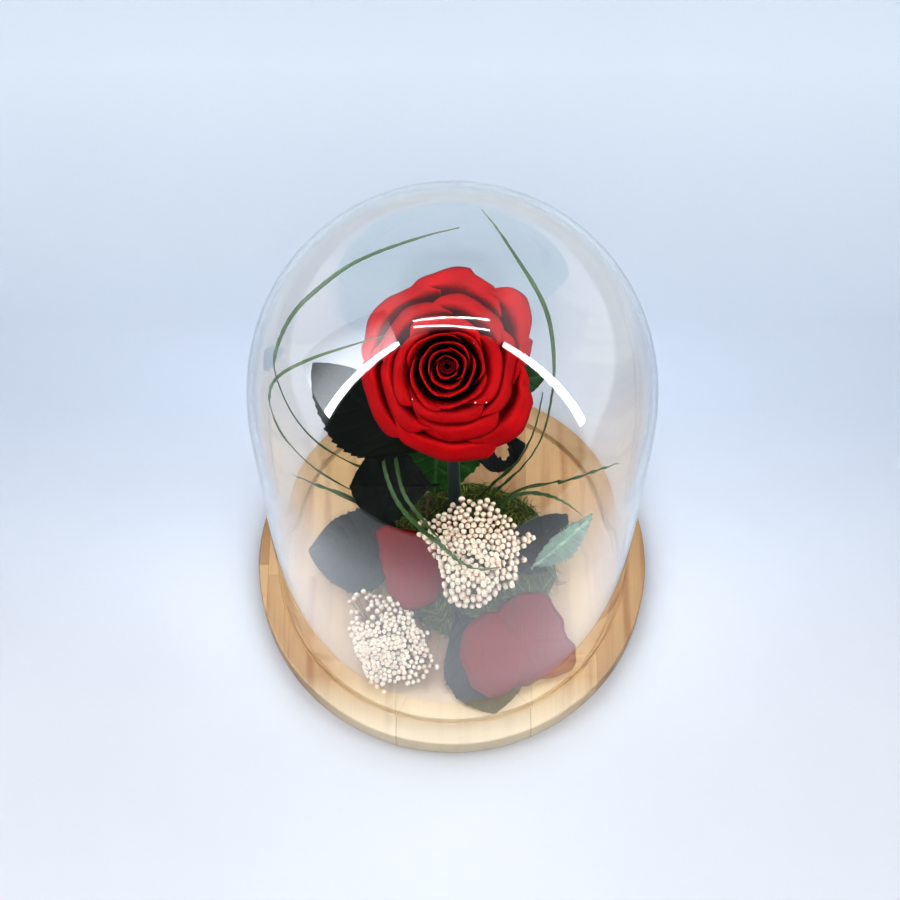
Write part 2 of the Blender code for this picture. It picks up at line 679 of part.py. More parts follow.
def loose_petal_grid(middle, facing, crown, curl, outline):
    """A square grid drawn to a disc, its radius stretched to the outline and its middle
    standing up."""
    steps = np.linspace(-1.0, 1.0, LOOSE_PETAL_CELLS + 1)
    across, up = np.meshgrid(steps, steps)
    x = across * np.sqrt(1.0 - 0.5 * up**2)
    y = up * np.sqrt(1.0 - 0.5 * across**2)
    reach = outline_reach(outline, np.arctan2(y, x))
    height = crown * (1.0 - 0.75 * (x**2 + y**2)) + curl * np.clip(y, 0.0, 1.0) ** 2
    return vector(*middle) + np.stack((reach * x, reach * y, height), axis=-1) @ facing_axes(facing)


def make_loose_petals():
    for name, form in LOOSE_PETALS.items():
        look = material(name, (0.42, 0.004, 0.012), 0.6)
        sheet(name, loose_petal_grid(*form), LOOSE_PETAL_THICKNESS, look)


def main():
    clear_scene()
    make_board()
    make_dome()
    make_stem()
    make_calyx()
    make_bud()
    make_petals()
    make_leaves()
    make_moss()
    make_grass()
    make_rice_flowers()
    make_twig()
    make_loose_petals()


main()
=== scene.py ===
import math

import bpy
import numpy as np
from mathutils import Matrix, Vector


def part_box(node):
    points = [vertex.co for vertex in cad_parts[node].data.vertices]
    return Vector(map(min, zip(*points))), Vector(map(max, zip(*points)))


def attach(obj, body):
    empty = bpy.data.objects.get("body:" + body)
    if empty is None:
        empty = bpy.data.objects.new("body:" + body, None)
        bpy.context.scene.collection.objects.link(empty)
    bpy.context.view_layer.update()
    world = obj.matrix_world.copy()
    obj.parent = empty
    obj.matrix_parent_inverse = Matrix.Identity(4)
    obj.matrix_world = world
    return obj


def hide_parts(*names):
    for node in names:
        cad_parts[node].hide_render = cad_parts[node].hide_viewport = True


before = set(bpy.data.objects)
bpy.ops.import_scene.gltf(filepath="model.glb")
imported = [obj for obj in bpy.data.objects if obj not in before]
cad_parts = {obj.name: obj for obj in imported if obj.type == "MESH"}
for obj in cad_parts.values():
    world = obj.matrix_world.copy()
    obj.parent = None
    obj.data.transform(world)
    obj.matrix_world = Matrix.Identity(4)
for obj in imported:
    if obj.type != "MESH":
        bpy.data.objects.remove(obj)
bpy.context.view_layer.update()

bl_info = {
    "name": "Preserved Rose in a Glass Dome",
    "version": (1, 0, 0),
    "blender": (4, 5, 0),
    "location": "View3D > Sidebar > Rose dome",
    "description": "Dresses the rose, its leaves, moss and dried buds, the glass dome and the pine board",
    "category": "Object",
}

# Shapes are worked out in millimetres and become metres when a mesh is made
MM = 0.001


def hex_colour(code):
    """An sRGB hex value as linear red, green, blue and alpha."""
    parts = [int(code[k : k + 2], 16) / 255.0 for k in (0, 2, 4)]
    return (*(c / 12.92 if c <= 0.04045 else ((c + 0.055) / 1.055) ** 2.4 for c in parts), 1.0)


def box_mm(node_name):
    """Low and high corner of a CAD node, in millimetres."""
    low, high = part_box(node_name)
    return np.array(low) / MM, np.array(high) / MM


BOARD_HIGH = box_mm("base_board")[1]
DOME_LOW, DOME_HIGH = box_mm("glass_dome")
BOARD_RADIUS = float(BOARD_HIGH[0])
BOARD_TOP = float(BOARD_HIGH[2])
DOME_RADIUS = float(DOME_HIGH[0])
DOME_TOP = float(DOME_HIGH[2])


def vector(x, y, z):
    """Three numbers as an array."""
    return np.array((x, y, z), dtype=float)


def unit(vectors):
    """The vectors of the last axis at length one."""
    return vectors / np.maximum(np.linalg.norm(vectors, axis=-1, keepdims=True), 1e-12)


def smooth_step(value, low, high):
    """0 below low, 1 above high, and 3s^2 - 2s^3 of the share between."""
    share = np.clip((value - low) / (high - low), 0.0, 1.0)
    return share * share * (3.0 - 2.0 * share)


def around(count):
    """Angles of this many even steps round a circle."""
    return 2.0 * np.pi * np.arange(count) / count


def polar(reach, angle):
    """X and Y of places at these distances from the middle, at these angles."""
    return np.stack((reach * np.cos(angle), reach * np.sin(angle)), axis=-1)


# Meshes from arrays


def put_mesh(name, points, face_sets, material, uv=None):
    """A mesh object from points in millimetres and arrays of faces, each array holding faces
    of one number of corners, with one UV pair for each point."""
    loops = np.concatenate([faces.ravel() for faces in face_sets]).astype(np.int32)
    totals = np.concatenate([np.full(len(faces), faces.shape[1]) for faces in face_sets])
    starts = np.concatenate(([0], np.cumsum(totals)[:-1]))
    mesh = bpy.data.meshes.new(name)
    mesh.vertices.add(len(points))
    mesh.vertices.foreach_set("co", (np.asarray(points) * MM).astype(np.float32).ravel())
    mesh.loops.add(len(loops))
    mesh.loops.foreach_set("vertex_index", loops)
    mesh.polygons.add(len(totals))
    mesh.polygons.foreach_set("loop_start", starts.astype(np.int32))
    mesh.update(calc_edges=True)
    if uv is not None:
        layer = mesh.uv_layers.new(name="UVMap")
        layer.data.foreach_set("uv", np.asarray(uv, dtype=np.float32)[loops].ravel())
    mesh.shade_smooth()
    mesh.validate()
    mesh.materials.append(material)
    piece = bpy.data.objects.new(name, mesh)
    bpy.context.scene.collection.objects.link(piece)
    return piece


def belongs(piece, nodes):
    """The piece rides on the one body and stands for the CAD nodes."""
    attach(piece, "root")
    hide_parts(*nodes)


def grid_faces(rows, columns, wrap=False):
    """Quads of a grid of rows by columns points, the last column joined to the first by wrap."""
    across = columns if wrap else columns - 1
    row, column = np.meshgrid(np.arange(rows - 1), np.arange(across), indexing="ij")
    after = (column + 1) % columns
    low = row * columns
    high = low + columns
    return np.stack((low + column, low + after, high + after, high + column), axis=-1).reshape(-1, 4)


def grid_normals(grid, wrap=False):
    """Cross product of the steps along the columns and along the rows."""
    if wrap:
        along_columns = np.roll(grid, -1, axis=1) - np.roll(grid, 1, axis=1)
    else:
        along_columns = np.gradient(grid, axis=1)
    return unit(np.cross(along_columns, np.gradient(grid, axis=0)))


def sheet(name, grid, thickness, material, uv, wrap=False):
    """A closed thin body: the grid moved half the thickness to each side along its normals,
    the two sides joined around their edges. The thickness is a number or one per point."""
    rows, columns = grid.shape[:2]
    half = 0.5 * np.broadcast_to(thickness, (rows, columns))[..., None]
    offset = grid_normals(grid, wrap) * half
    count = rows * columns
    index = np.arange(count).reshape(rows, columns)
    upper = grid_faces(rows, columns, wrap)
    if wrap:
        loops = (index[0], index[-1][::-1])
    else:
        loops = (np.concatenate((index[0, :-1], index[:-1, -1], index[-1, :0:-1], index[:0:-1, 0])),)
    faces = [upper, upper[:, ::-1] + count]
    for edge in loops:
        after = np.roll(edge, -1)
        faces.append(np.stack((after, edge, edge + count, after + count), axis=-1))
    points = np.concatenate(((grid + offset).reshape(-1, 3), (grid - offset).reshape(-1, 3)))
    return put_mesh(name, points, faces, material, np.tile(uv.reshape(-1, 2), (2, 1)))


def closed_ring_faces(rows, count):
    """Faces between rings of points, one above the other, and fans to an end point each way."""
    start = np.arange(count)
    ahead = np.roll(start, -1)
    low = 1 + (rows - 1) * count
    first = np.stack((np.zeros(count, int), 1 + ahead, 1 + start), axis=-1)
    last = np.stack((low + start, low + ahead, np.full(count, low + count)), axis=-1)
    return [1 + grid_faces(rows, count, wrap=True), first, last]


def ring_body(name, rings, bottom, top, material, uv=None):
    """A closed body of rings of points, one above the other, closed by an end point each way."""
    points = np.concatenate(([bottom], rings.reshape(-1, 3), [top]))
    return put_mesh(name, points, closed_ring_faces(*rings.shape[:2]), material, uv)


def lathe(name, profile, steps, material):
    """The profile's (radius, height) points turned about the upright axis. It runs from the
    axis, with the body on its left, and back to the axis."""
    profile = np.asarray(profile, dtype=float)
    flat = polar(profile[1:-1, 0, None], around(steps))
    height = np.broadcast_to(profile[1:-1, 1, None, None], (*flat.shape[:2], 1))
    ends = (vector(0.0, 0.0, profile[0, 1]), vector(0.0, 0.0, profile[-1, 1]))
    return ring_body(name, np.concatenate((flat, height), axis=-1), *ends, material)


def smooth_path(points, count):
    """Evenly numbered points on a Catmull-Rom curve through the given ones."""
    points = np.asarray(points, dtype=float)
    ends = np.vstack((2 * points[0] - points[1], points, 2 * points[-1] - points[-2]))
    where = np.linspace(0.0, len(points) - 1.0, count)
    span = np.minimum(where.astype(int), len(points) - 2)
    t = (where - span)[:, None]
    before, start, end, after = (ends[span + k] for k in range(4))
    return 0.5 * (
        2 * start
        + (end - before) * t
        + (2 * before - 5 * start + 4 * end - after) * t**2
        + (3 * start - before - 3 * end + after) * t**3
    )


def eased(path, reach):
    """The path with each point the mean of its neighbours up to the reach to either side. The
    ends are carried on by their point reflection, so they stay."""
    count = len(path)
    start = 2 * path[0] - path[reach:0:-1]
    end = 2 * path[-1] - path[-2 : -reach - 2 : -1]
    padded = np.concatenate((start, path, end))
    weight = np.hanning(2 * reach + 3)[1:-1]
    weight = weight / weight.sum()
    return sum(w * padded[k : k + count] for k, w in enumerate(weight))


def outline_reach(outline, angle):
    """Distance from the middle to an outline given by angles in degrees and distances."""
    places, reaches = np.array(outline).T
    return np.interp(np.degrees(angle) % 360.0, places, reaches, period=360.0)


def path_frames(paths):
    """Two directions square to the way of each path, at every point of it."""
    along = unit(np.gradient(paths, axis=-2))
    level = np.broadcast_to(vector(0.13, 0.97, 0.21), along.shape)
    first = unit(np.cross(level, along))
    return first, np.cross(along, first)


def tube(name, path, radii, sides, material):
    """A round bar along a path: circles of the given radii square to it. U runs round it and
    V along it."""
    first, second = path_frames(path)
    flat = polar(np.broadcast_to(radii, (len(path), sides)), around(sides))
    rings = path[:, None] + flat[..., :1] * first[:, None] + flat[..., 1:] * second[:, None]
    u, v = np.meshgrid(np.arange(sides) / sides, np.linspace(0.0, 1.0, len(path)))
    uv = np.concatenate(([(0.0, 0.0)], np.stack((u, v), axis=-1).reshape(-1, 2), [(0.0, 1.0)]))
    return ring_body(name, rings, path[0], path[-1], material, uv)


def strand_batch(paths, radii, sides, flatten=1.0):
    """Many thin strands at once: paths is strands by points by 3, radii strands by points.
    Each is a closed prism, its section squeezed one way by flatten. Returns points, faces and
    the share along each strand."""
    strands, steps = paths.shape[:2]
    first, second = (direction[:, :, None] for direction in path_frames(paths))
    across, thick = polar(1.0, around(sides)).T[..., None]
    rings = paths[:, :, None] + radii[:, :, None, None] * (across * first + flatten * thick * second)
    start = (np.arange(strands) * steps * sides)[:, None, None]
    side = (grid_faces(steps, sides, wrap=True)[None] + start).reshape(-1, 4)
    cap = np.arange(sides)
    caps = np.stack((cap[::-1], cap + (steps - 1) * sides))[None] + start
    share = np.broadcast_to(np.linspace(0.0, 1.0, steps)[None, :, None], (strands, steps, sides))
    return rings.reshape(-1, 3), [side, caps.reshape(-1, sides)], share.reshape(-1)


# Materials and their nodes


def node(material, kind, inputs=None, stops=(), **settings):
    """Adds a shader node, sets its properties, fills its inputs with values or links from
    other sockets, and gives a colour ramp its stops."""
    tree = material.node_tree
    made = tree.nodes.new("ShaderNode" + kind)
    for key, value in settings.items():
        setattr(made, key, value)
    for key, value in (inputs or {}).items():
        if isinstance(value, bpy.types.NodeSocket):
            tree.links.new(value, made.inputs[key])
        else:
            made.inputs[key].default_value = value
    for number, (place, colour) in enumerate(stops):
        elements = made.color_ramp.elements
        element = elements[number] if number < len(elements) else elements.new(1.0)
        element.position = place
        element.color = colour
    return made


def uv_parts(material):
    """U and V of the piece's own UV map."""
    coords = node(material, "TexCoord").outputs["UV"]
    return node(material, "SeparateXYZ", {0: coords}).outputs[:2]


def maths(material, operation, *values, **settings):
    """An operation on numbers."""
    return node(material, "Math", dict(enumerate(values)), operation=operation, **settings).outputs[0]


def vector_maths(material, operation, first, second):
    """An operation on two vectors. A distance and a dot product are numbers."""
    kind = "Value" if operation in {"DISTANCE", "DOT_PRODUCT"} else "Vector"
    return node(material, "VectorMath", {0: first, 1: second}, operation=operation).outputs[kind]


def ranged(material, value, low, high, to_low=0.0, to_high=1.0, **settings):
    """The way from to_low to to_high that the value has gone from low to high."""
    inputs = {0: value, 1: low, 2: high, 3: to_low, 4: to_high}
    return node(material, "MapRange", inputs, **settings).outputs[0]


def mixed(material, share, first, second):
    """The first colour where the share is 0 and the second where it is 1."""
    return node(material, "Mix", {0: share, 6: first, 7: second}, data_type="RGBA").outputs[2]


def shaded(material, shade, colour):
    """The colour with its brightness times the shade."""
    return node(material, "HueSaturation", {"Value": shade, "Color": colour}).outputs[0]


def ramp(material, value, *stops):
    """The colour of a ramp at the value."""
    return node(material, "ValToRGB", {0: value}, stops=stops).outputs[0]


def noise(material, place, scale, detail, roughness=0.5, **settings):
    """Soft noise from 0 to 1."""
    inputs = {"Vector": place, "Scale": scale, "Detail": detail, "Roughness": roughness}
    return node(material, "TexNoise", inputs, **settings).outputs["Fac"]


def plain_material(name, roughness, **values):
    """A new material with the given values on its Principled shader's own sockets."""
    material = bpy.data.materials.new(name)
    material.use_nodes = True
    inputs = material.node_tree.nodes["Principled BSDF"].inputs
    inputs["Roughness"].default_value = roughness
    for key, value in values.items():
        inputs[key.replace("_", " ").title().replace("Ior", "IOR")].default_value = value
    return material


def link(material, output, name):
    """Links an output to the Principled shader's socket of this name."""
    material.node_tree.links.new(output, material.node_tree.nodes["Principled BSDF"].inputs[name])


def per_mm(size):
    """Texture scale on object coordinates, which are metres, for features of this many mm."""
    return 1.0 / (size * MM)


def bump(material, height, depth, normal=None):
    """Bump of this depth in millimetres from a height of 0 to 1."""
    inputs = {"Height": height, "Distance": depth * MM, "Strength": 1.0}
    if normal is not None:
        inputs["Normal"] = normal
    relief = node(material, "Bump", inputs).outputs[0]
    link(material, relief, "Normal")
    return relief


def streaked(name, roughness, spread, first, second, depth):
    """A dull skin with lengthwise streaks of two colours that stand out by the depth in mm. The
    spread is how many of them there are round it and along it."""
    material = plain_material(name, roughness)
    coords = node(material, "TexCoord").outputs["UV"]
    streak = noise(material, vector_maths(material, "MULTIPLY", coords, (*spread, 1.0)), 1.0, 4.0)
    link(material, mixed(material, streak, first, second), "Base Color")
    bump(material, streak, depth)
    return material


# Settings that a user would change


def colour_setting(name, description, code):
    """A colour, given by its hex value."""
    return bpy.props.FloatVectorProperty(
        name=name, description=description, subtype="COLOR", size=4, default=hex_colour(code)
    )


def length_setting(name, description, length):
    """A length, given in millimetres."""
    return bpy.props.FloatProperty(name=name, description=description, default=length * MM, unit="LENGTH")


def light_setting(name, description, level):
    """How bright a light is."""
    return bpy.props.FloatProperty(name=name, description=description, default=level, min=0.0)


class RoseBoardSettings(bpy.types.PropertyGroup):
    strip_width: length_setting("Strip width", "Width of the glued pine strips", 25.2)
    strip_length: length_setting("Strip length", "Length of a strip between its finger joints", 92.0)
    pale: colour_setting("Pale wood", "Sapwood between the rings", "c2a376")
    middle: colour_setting("Wood", "Most of the wood", "9f7a50")
    dark: colour_setting("Late wood", "Dark lines of the rings", "8a5a2c")
    # Painted highlight: near-white cream for the front of the board, standing in for the varnish's sheen
    front_highlight: colour_setting("Sapwood", "Nearly cream ends of the strips in front", "f8ebd0")
    glue_line: colour_setting("Glue line", "Thin line between two strips", "8a5f34")


class RoseDomeSettings(bpy.types.PropertyGroup):
    wall: length_setting("Wall", "Thickness of the glass", 1.8)
    ior: bpy.props.FloatProperty(
        name="Index of refraction", description="Bends and mirrors the light", default=1.46, min=1.3, max=1.7
    )
    tint: colour_setting("Tint", "Colour of the glass", "fcfefe")


class RosePetalSettings(bpy.types.PropertyGroup):
    thickness: length_setting("Thickness", "Thickness of a petal", 0.35)
    ripple: length_setting("Ripple", "How far the rims wave", 0.62)
    # Painted shade: the dark red at the petals' foot stands for the depths of the rose
    deep: colour_setting("Deep red", "Base of the petals", "520005")
    red: colour_setting("Red", "Most of the petals", "b0000a")
    rim: colour_setting("Rim", "Thin edge of the petals", "8a000c")
    dust: colour_setting("Dust", "Specks of white dust", "f2e6e0")


class RoseLeafSettings(bpy.types.PropertyGroup):
    teeth: bpy.props.IntProperty(name="Teeth", description="Teeth on each edge of a leaf", default=22, min=6)
    vein_depth: length_setting("Vein depth", "How deep the veins lie", 0.30)
    dark: colour_setting("Dyed green", "Nearly black leaves", "0f150f")
    green: colour_setting("Green", "Leaves with less dye", "23401f")
    # Painted light: a brighter copy of the green for the leaf behind the stem, which the light reaches more
    fresh: colour_setting("Bright green", "The leaf behind the stem", "2f5a28")
    pale: colour_setting("Pale green", "The small greyish leaf", "6c806e")
    stem: colour_setting("Stem", "Dyed bark", "2a3642")
    stem_streak: colour_setting("Stem streaks", "Greener streaks of the bark", "2c3a2c")


class RoseGroundSettings(bpy.types.PropertyGroup):
    strands: bpy.props.IntProperty(name="Strands", description="Moss fibres", default=2900, min=100, max=3400)
    moss_deep: colour_setting("Deep moss", "Darkest fibres of the moss", "2e3a10")
    moss: colour_setting("Moss", "Most of the moss", "565f14")
    moss_bright: colour_setting("Bright moss", "Yellow-green fibres", "8a9426")
    moss_straw: colour_setting("Straw", "Fibres dried to straw", "b5a95a")
    grass_root: colour_setting("Grass root", "Foot of the grass blades", "39511f")
    grass: colour_setting("Grass", "Grass blades", "38561f")
    grass_tip: colour_setting("Grass tip", "Dry tips of the blades", "6d6a3c")
    # Foot to top of a bud: partly its own brown bracts, partly painted shade between the buds and a painted
    # highlight on top
    bud_foot_and_shade: colour_setting("Bud foot", "Brown foot of the buds", "6e4a34")
    bud_base: colour_setting("Bud base", "Lower scales of the buds", "b78f76")
    bud: colour_setting("Buds", "Papery dried buds", "e2d2b8")
    bud_top_and_highlight: colour_setting("Bud top", "Palest scales of the buds", "efe5d2")
    bud_tip: colour_setting("Bud tip", "Tips of the buds", "dccab0")
    blush: colour_setting("Blush", "Pinkish tone of some buds", "dcae95")
    twig_dark: colour_setting("Twig furrows", "Furrows of the dry bark", "3c281a")
    twig: colour_setting("Twig", "Dry bark", "6d4c33")


class RoseStageSettings(bpy.types.PropertyGroup):
    floor_front: colour_setting("Floor in front", "Pale floor near by", "e2e4e8")
    # Painted shadow: the floor's darker band beside the board, where the dome's soft shadow falls
    floor_painted_shadow: colour_setting("Floor beside", "Floor beside the board", "ccd4df")
    floor_back: colour_setting("Floor behind", "Bluish floor far off", "edf5fb")
    tent: colour_setting("Tent", "Sides and ceiling of the pale tent", "e6eaf0")
    tent_back: colour_setting("Tent's back", "Back wall of the tent", "b6bfcd")
    room: colour_setting("Room", "Dark room in front of the tent", "151719")
    lamp: colour_setting("Lamps", "Colour of the lamp strips", "f7f9ff")
    lit_cloth: colour_setting("Lit cloth", "Colour of the cloth by the left strip", "eef4fb")
    gamma: bpy.props.FloatProperty(
        name="Contrast", description="Gamma of the view, lower for more", default=0.8, min=0.5, max=1.5
    )
    fill: light_setting("Fill light", "Brightness of the pale surroundings", 1.95)
    strips: light_setting("Strip light", "Radiance of the lamp strips on dull things", 2.5)
    front: light_setting("Front light", "Radiance of the soft lamp in front of the board", 1.1)
    beside_camera: light_setting("Camera light", "Radiance of the soft lamp beside the camera", 5.0)
    cloth: light_setting("Cloth glow", "Radiance of the tent cloth beside the left strip", 12.0)
    shine: light_setting("Strip shine", "Radiance of the lamp strips as the glass shows them", 40.0)


# Board and dome

# The groove's walls stand clear of the glass on both sides
GROOVE_INNER = DOME_RADIUS - 3.1
GROOVE_OUTER = DOME_RADIUS + 0.5
GROOVE_DEPTH = 3.2
GROOVE_ARRIS = 0.25
BOARD_ARRIS = 0.8
TURN_STEPS = 256
# Where the first glue line lies, in strip widths
FIRST_GLUE_LINE = 0.82
# Size of the rings' waves, of their soft patches and of the fibres, in millimetres
RING_SIZE = 26.0
PATCH_SIZE = 9.0
FIBRE_SIZE = 0.9
# Y where the painted highlight on the board's front starts and where it is full, in metres
FRONT_HIGHLIGHT_START = -0.048
FRONT_HIGHLIGHT_FULL = -0.070
# Half the arc, in radians, over which the dome's curvature fades out at the shoulder
SHOULDER_EASE = 0.30


def arc(centre, radius, start, end, steps):
    """Points on a circle about centre, from one angle to another, in degrees."""
    angle = np.radians(np.linspace(start, end, steps))
    return [(centre[0] + radius * math.cos(a), centre[1] + radius * math.sin(a)) for a in angle]


def pine(settings):
    """Glued pine strips, sanded and varnished: strips of differing tone along Y, joined end to
    end, with fine rings that darken in thin lines, a satin skin and a slight grain relief."""
    material = plain_material("pine", 0.42, coat_weight=0.18, coat_roughness=0.25)
    coords = node(material, "TexCoord").outputs["Object"]
    axes = node(material, "SeparateXYZ", {0: coords}).outputs
    across = maths(material, "DIVIDE", axes[0], settings.strip_width)
    across = maths(material, "ADD", across, FIRST_GLUE_LINE)
    strip = maths(material, "FLOOR", across)
    shift = node(material, "TexWhiteNoise", {"W": strip}, noise_dimensions="1D").outputs["Value"]
    along = maths(material, "DIVIDE", axes[1], settings.strip_length)
    along = maths(material, "ADD", along, shift)
    block = maths(material, "FLOOR", along)
    cell = node(material, "CombineXYZ", {0: strip, 1: block}).outputs[0]
    tone = node(material, "TexWhiteNoise", {"Vector": cell}, noise_dimensions="2D").outputs
    offset = vector_maths(material, "MULTIPLY", tone["Color"], (0.3, 0.7, 0.2))
    place = vector_maths(material, "ADD", coords, offset)
    # Rings that wander, as a plain-sawn face shows them, and broad soft patches
    lengthwise = vector_maths(material, "MULTIPLY", place, (1.0, 0.10, 0.8))
    waves = {"Vector": lengthwise, "Scale": per_mm(RING_SIZE)}
    waves.update({"Distortion": 16.0, "Detail": 3.0, "Detail Scale": 0.45})
    rings = node(material, "TexWave", waves).outputs["Fac"]
    patch = noise(material, lengthwise, per_mm(PATCH_SIZE), 2.0)
    patch = ranged(material, patch, 0.36, 0.66, 0.0, 0.75)
    fibre = vector_maths(material, "MULTIPLY", place, (1.0, 0.03, 1.0))
    fibre = noise(material, fibre, per_mm(FIBRE_SIZE), 4.0, 0.6)
    late = ranged(material, rings, 0.40, 1.0)
    late = maths(material, "MULTIPLY", late, patch)
    fleck = ranged(material, fibre, 0.35, 0.75, -0.12, 0.22)
    late = maths(material, "ADD", late, fleck, use_clamp=True)
    wood = mixed(material, tone["Value"], settings.pale, settings.middle)
    wood = mixed(material, late, wood, settings.dark)
    # Painted highlight: the wood turns cream towards the front, standing in for the lamp's sheen on the
    # varnish
    front = ranged(material, axes[1], FRONT_HIGHLIGHT_START, FRONT_HIGHLIGHT_FULL, 0.0, 0.75)
    wood = mixed(material, front, wood, settings.front_highlight)
    # Glue lines: a hair-thin darker line where strips meet
    edge = maths(material, "PINGPONG", across, 1.0)
    line = ranged(material, edge, 0.0, 0.012, 0.45, 0.0)
    link(material, mixed(material, line, wood, settings.glue_line), "Base Color")
    bump(material, fibre, 0.04)
    return material


def make_board(settings):
    """Lathe of the board's section: flat below, the outer edges rounded, and the groove with
    its arrises broken."""
    floor = BOARD_TOP - GROOVE_DEPTH
    soft = GROOVE_ARRIS
    edge = BOARD_RADIUS - BOARD_ARRIS
    profile = [(0.0, 0.0), (0.5 * edge, 0.0)]
    profile += arc((edge, BOARD_ARRIS), BOARD_ARRIS, -90.0, 0.0, 7)
    profile += arc((edge, BOARD_TOP - BOARD_ARRIS), BOARD_ARRIS, 0.0, 90.0, 7)
    profile += arc((GROOVE_OUTER + soft, BOARD_TOP - soft), soft, 90.0, 180.0, 4)
    profile += arc((GROOVE_OUTER - soft, floor + soft), soft, 0.0, -90.0, 4)
    profile += arc((GROOVE_INNER + soft, floor + soft), soft, -90.0, -180.0, 4)
    profile += arc((GROOVE_INNER - soft, BOARD_TOP - soft), soft, 0.0, 90.0, 4)
    profile += [(0.5 * GROOVE_INNER, BOARD_TOP), (0.0, BOARD_TOP)]
    piece = lathe("pine_board", profile, TURN_STEPS, pine(settings))
    piece.data.set_sharp_from_angle(angle=math.radians(40.0))
    belongs(piece, ["base_board"])


def clear_glass(settings):
    """Blown soda-lime glass, fire polished: see-through, bright only where it mirrors."""
    looks = {"transmission_weight": 1.0, "ior": settings.ior, "base_color": settings.tint}
    return plain_material("clear_glass", 0.0, **looks)


def summed(values, step):
    """The running integral of values at even steps, from 0, by the trapezium rule."""
    return np.concatenate(([0.0], np.cumsum(0.5 * (values[1:] + values[:-1]) * step)))


def dome_profile():
    """Outer points and normals of the glass from the top down: a circle whose curvature fades
    out evenly over the shoulder, so the wall below is straight without a sudden change."""
    quarter = 0.5 * math.pi
    length = np.linspace(0.0, quarter + SHOULDER_EASE, 400)
    faded = (length - quarter + SHOULDER_EASE) / (2.0 * SHOULDER_EASE)
    angle = summed(1.0 - np.clip(faded, 0.0, 1.0), length[1])
    radius = summed(np.cos(angle), length[1])
    fall = summed(np.sin(angle), length[1])
    scale = DOME_RADIUS / radius[-1]
    picks = np.linspace(0, len(length) - 1, 90).astype(int)
    outer = np.stack((radius * scale, DOME_TOP - fall * scale), axis=-1)[picks]
    return outer, np.stack((np.sin(angle), np.cos(angle)), axis=-1)[picks]


def make_dome(settings):
    """Lathe of the glass: inner face from the top down, a rounded rim, and the outer face up."""
    wall = settings.wall / MM
    rim = float(DOME_LOW[2])
    outer, normal = dome_profile()
    inner = outer - wall * normal
    heights = np.linspace(outer[-1, 1], rim + 0.5 * wall, 20)[1:-1]
    profile = [(0.0, inner[0, 1]), *inner[1:]]
    profile += [(DOME_RADIUS - wall, height) for height in heights]
    profile += arc((DOME_RADIUS - 0.5 * wall, rim + 0.5 * wall), 0.5 * wall, 180.0, 360.0, 13)
    profile += [(DOME_RADIUS, height) for height in heights[::-1]]
    profile += [*outer[:0:-1], (0.0, outer[0, 1])]
    piece = lathe("blown_glass_dome", profile, TURN_STEPS, clear_glass(settings))
    # Clear glass lets the lamps' light through to what it covers
    piece.visible_shadow = False
    belongs(piece, ["glass_dome"])


# Rose head

HEAD_CENTRE = (-1.8, 16.3, 140.0)
HEAD_TILT = math.radians(25.0)
HEAD_RADIUS = 29.5
RECEPTACLE_RADIUS = 2.3
RECEPTACLE_TOP = -5.4
HIP_FOOT = -39.0
HEAD_RISE = vector(0.0, math.cos(HEAD_TILT), math.sin(HEAD_TILT))
HEAD_AXIS = vector(0.0, -math.sin(HEAD_TILT), math.cos(HEAD_TILT))

# Whorls: girth, petals, span and first place in degrees, step to the petal it tucks under and
# how far its rim falls at the sides
WHORLS = (
    (3.6, 2, 228.0, 70.0, 0.80, 0.34),
    (6.1, 3, 170.0, 20.0, 0.85, 0.36),
    (8.8, 3, 164.0, 80.0, 0.95, 0.34),
    (12.6, 4, 132.0, 35.0, 1.20, 0.33),
    (17.6, 4, 126.0, 88.0, 1.60, 0.24),
    (22.8, 5, 102.0, 64.0, 1.70, 0.22),
)
OUTER_GIRTH = 28.6
OUTER_PETALS = ((84.0, 84.0), (140.0, 90.0), (203.0, 92.0), (268.0, 92.0), (325.0, 86.0), (26.0, 84.0))
OUTER_STEP = 1.80
OUTER_ROUND_OFF = 0.20
# The head's outline seen along its axis: angle in degrees and radius in millimetres
OUTLINE = (
    (0.0, 27.0), (14.0, 29.4), (16.0, 30.1), (19.0, 28.7), (28.0, 31.5), (41.0, 33.2), (57.0, 32.0),
    (73.0, 31.4), (77.0, 32.7), (90.0, 31.6), (112.0, 29.5), (130.0, 31.0), (150.0, 29.8),
    (163.0, 27.4), (202.0, 27.9), (233.0, 30.2), (260.0, 29.9), (294.0, 33.2), (320.0, 32.5),
    (337.0, 30.6), (345.0, 27.2),
)
# Specks of white dust on the petals: place and radius
DUST_SPECKS = (
    ((7.5, -0.7, 146.9), 0.34),
    ((11.1, -0.7, 146.9), 0.28),
    ((-13.1, 0.2, 147.3), 0.22),
    ((7.0, 16.6, 155.5), 0.20),
)
PETAL_ROWS = 44
PETAL_COLUMNS = 60
# Velvets: brightness, and the share of a petal's height where it is fully red. The deep red
# # below that share and the bud's lower brightness are painted shade of the rose's depths
INNER_SHADED_VELVET = (0.95, 0.84)
OUTER_VELVET = (1.0, 0.52)
BUD_SHADED_VELVET = (0.62, 0.93)
LOOSE_VELVET = (0.40, 0.68)
# How much brighter petals next to each other are, in turn
PETAL_TINTS = (1.0, 0.93, 1.06)
# Size of the cloudy tone and of the nap, in millimetres, and veins across a petal
CLOUD_SIZE = 7.0
NAP_SIZE = 0.3
PETAL_VEINS = 46.0
# Whorls within this girth have the velvet of the inner petals, with more painted shade
INNER_GIRTH = 14.0
# The innermost petal: turns of its spiral, first radius, growth in a turn, and height
BUD_TURNS = 2.1
BUD_RADIUS = 0.75
BUD_GROWTH = 0.74
BUD_HEIGHT = 16.6


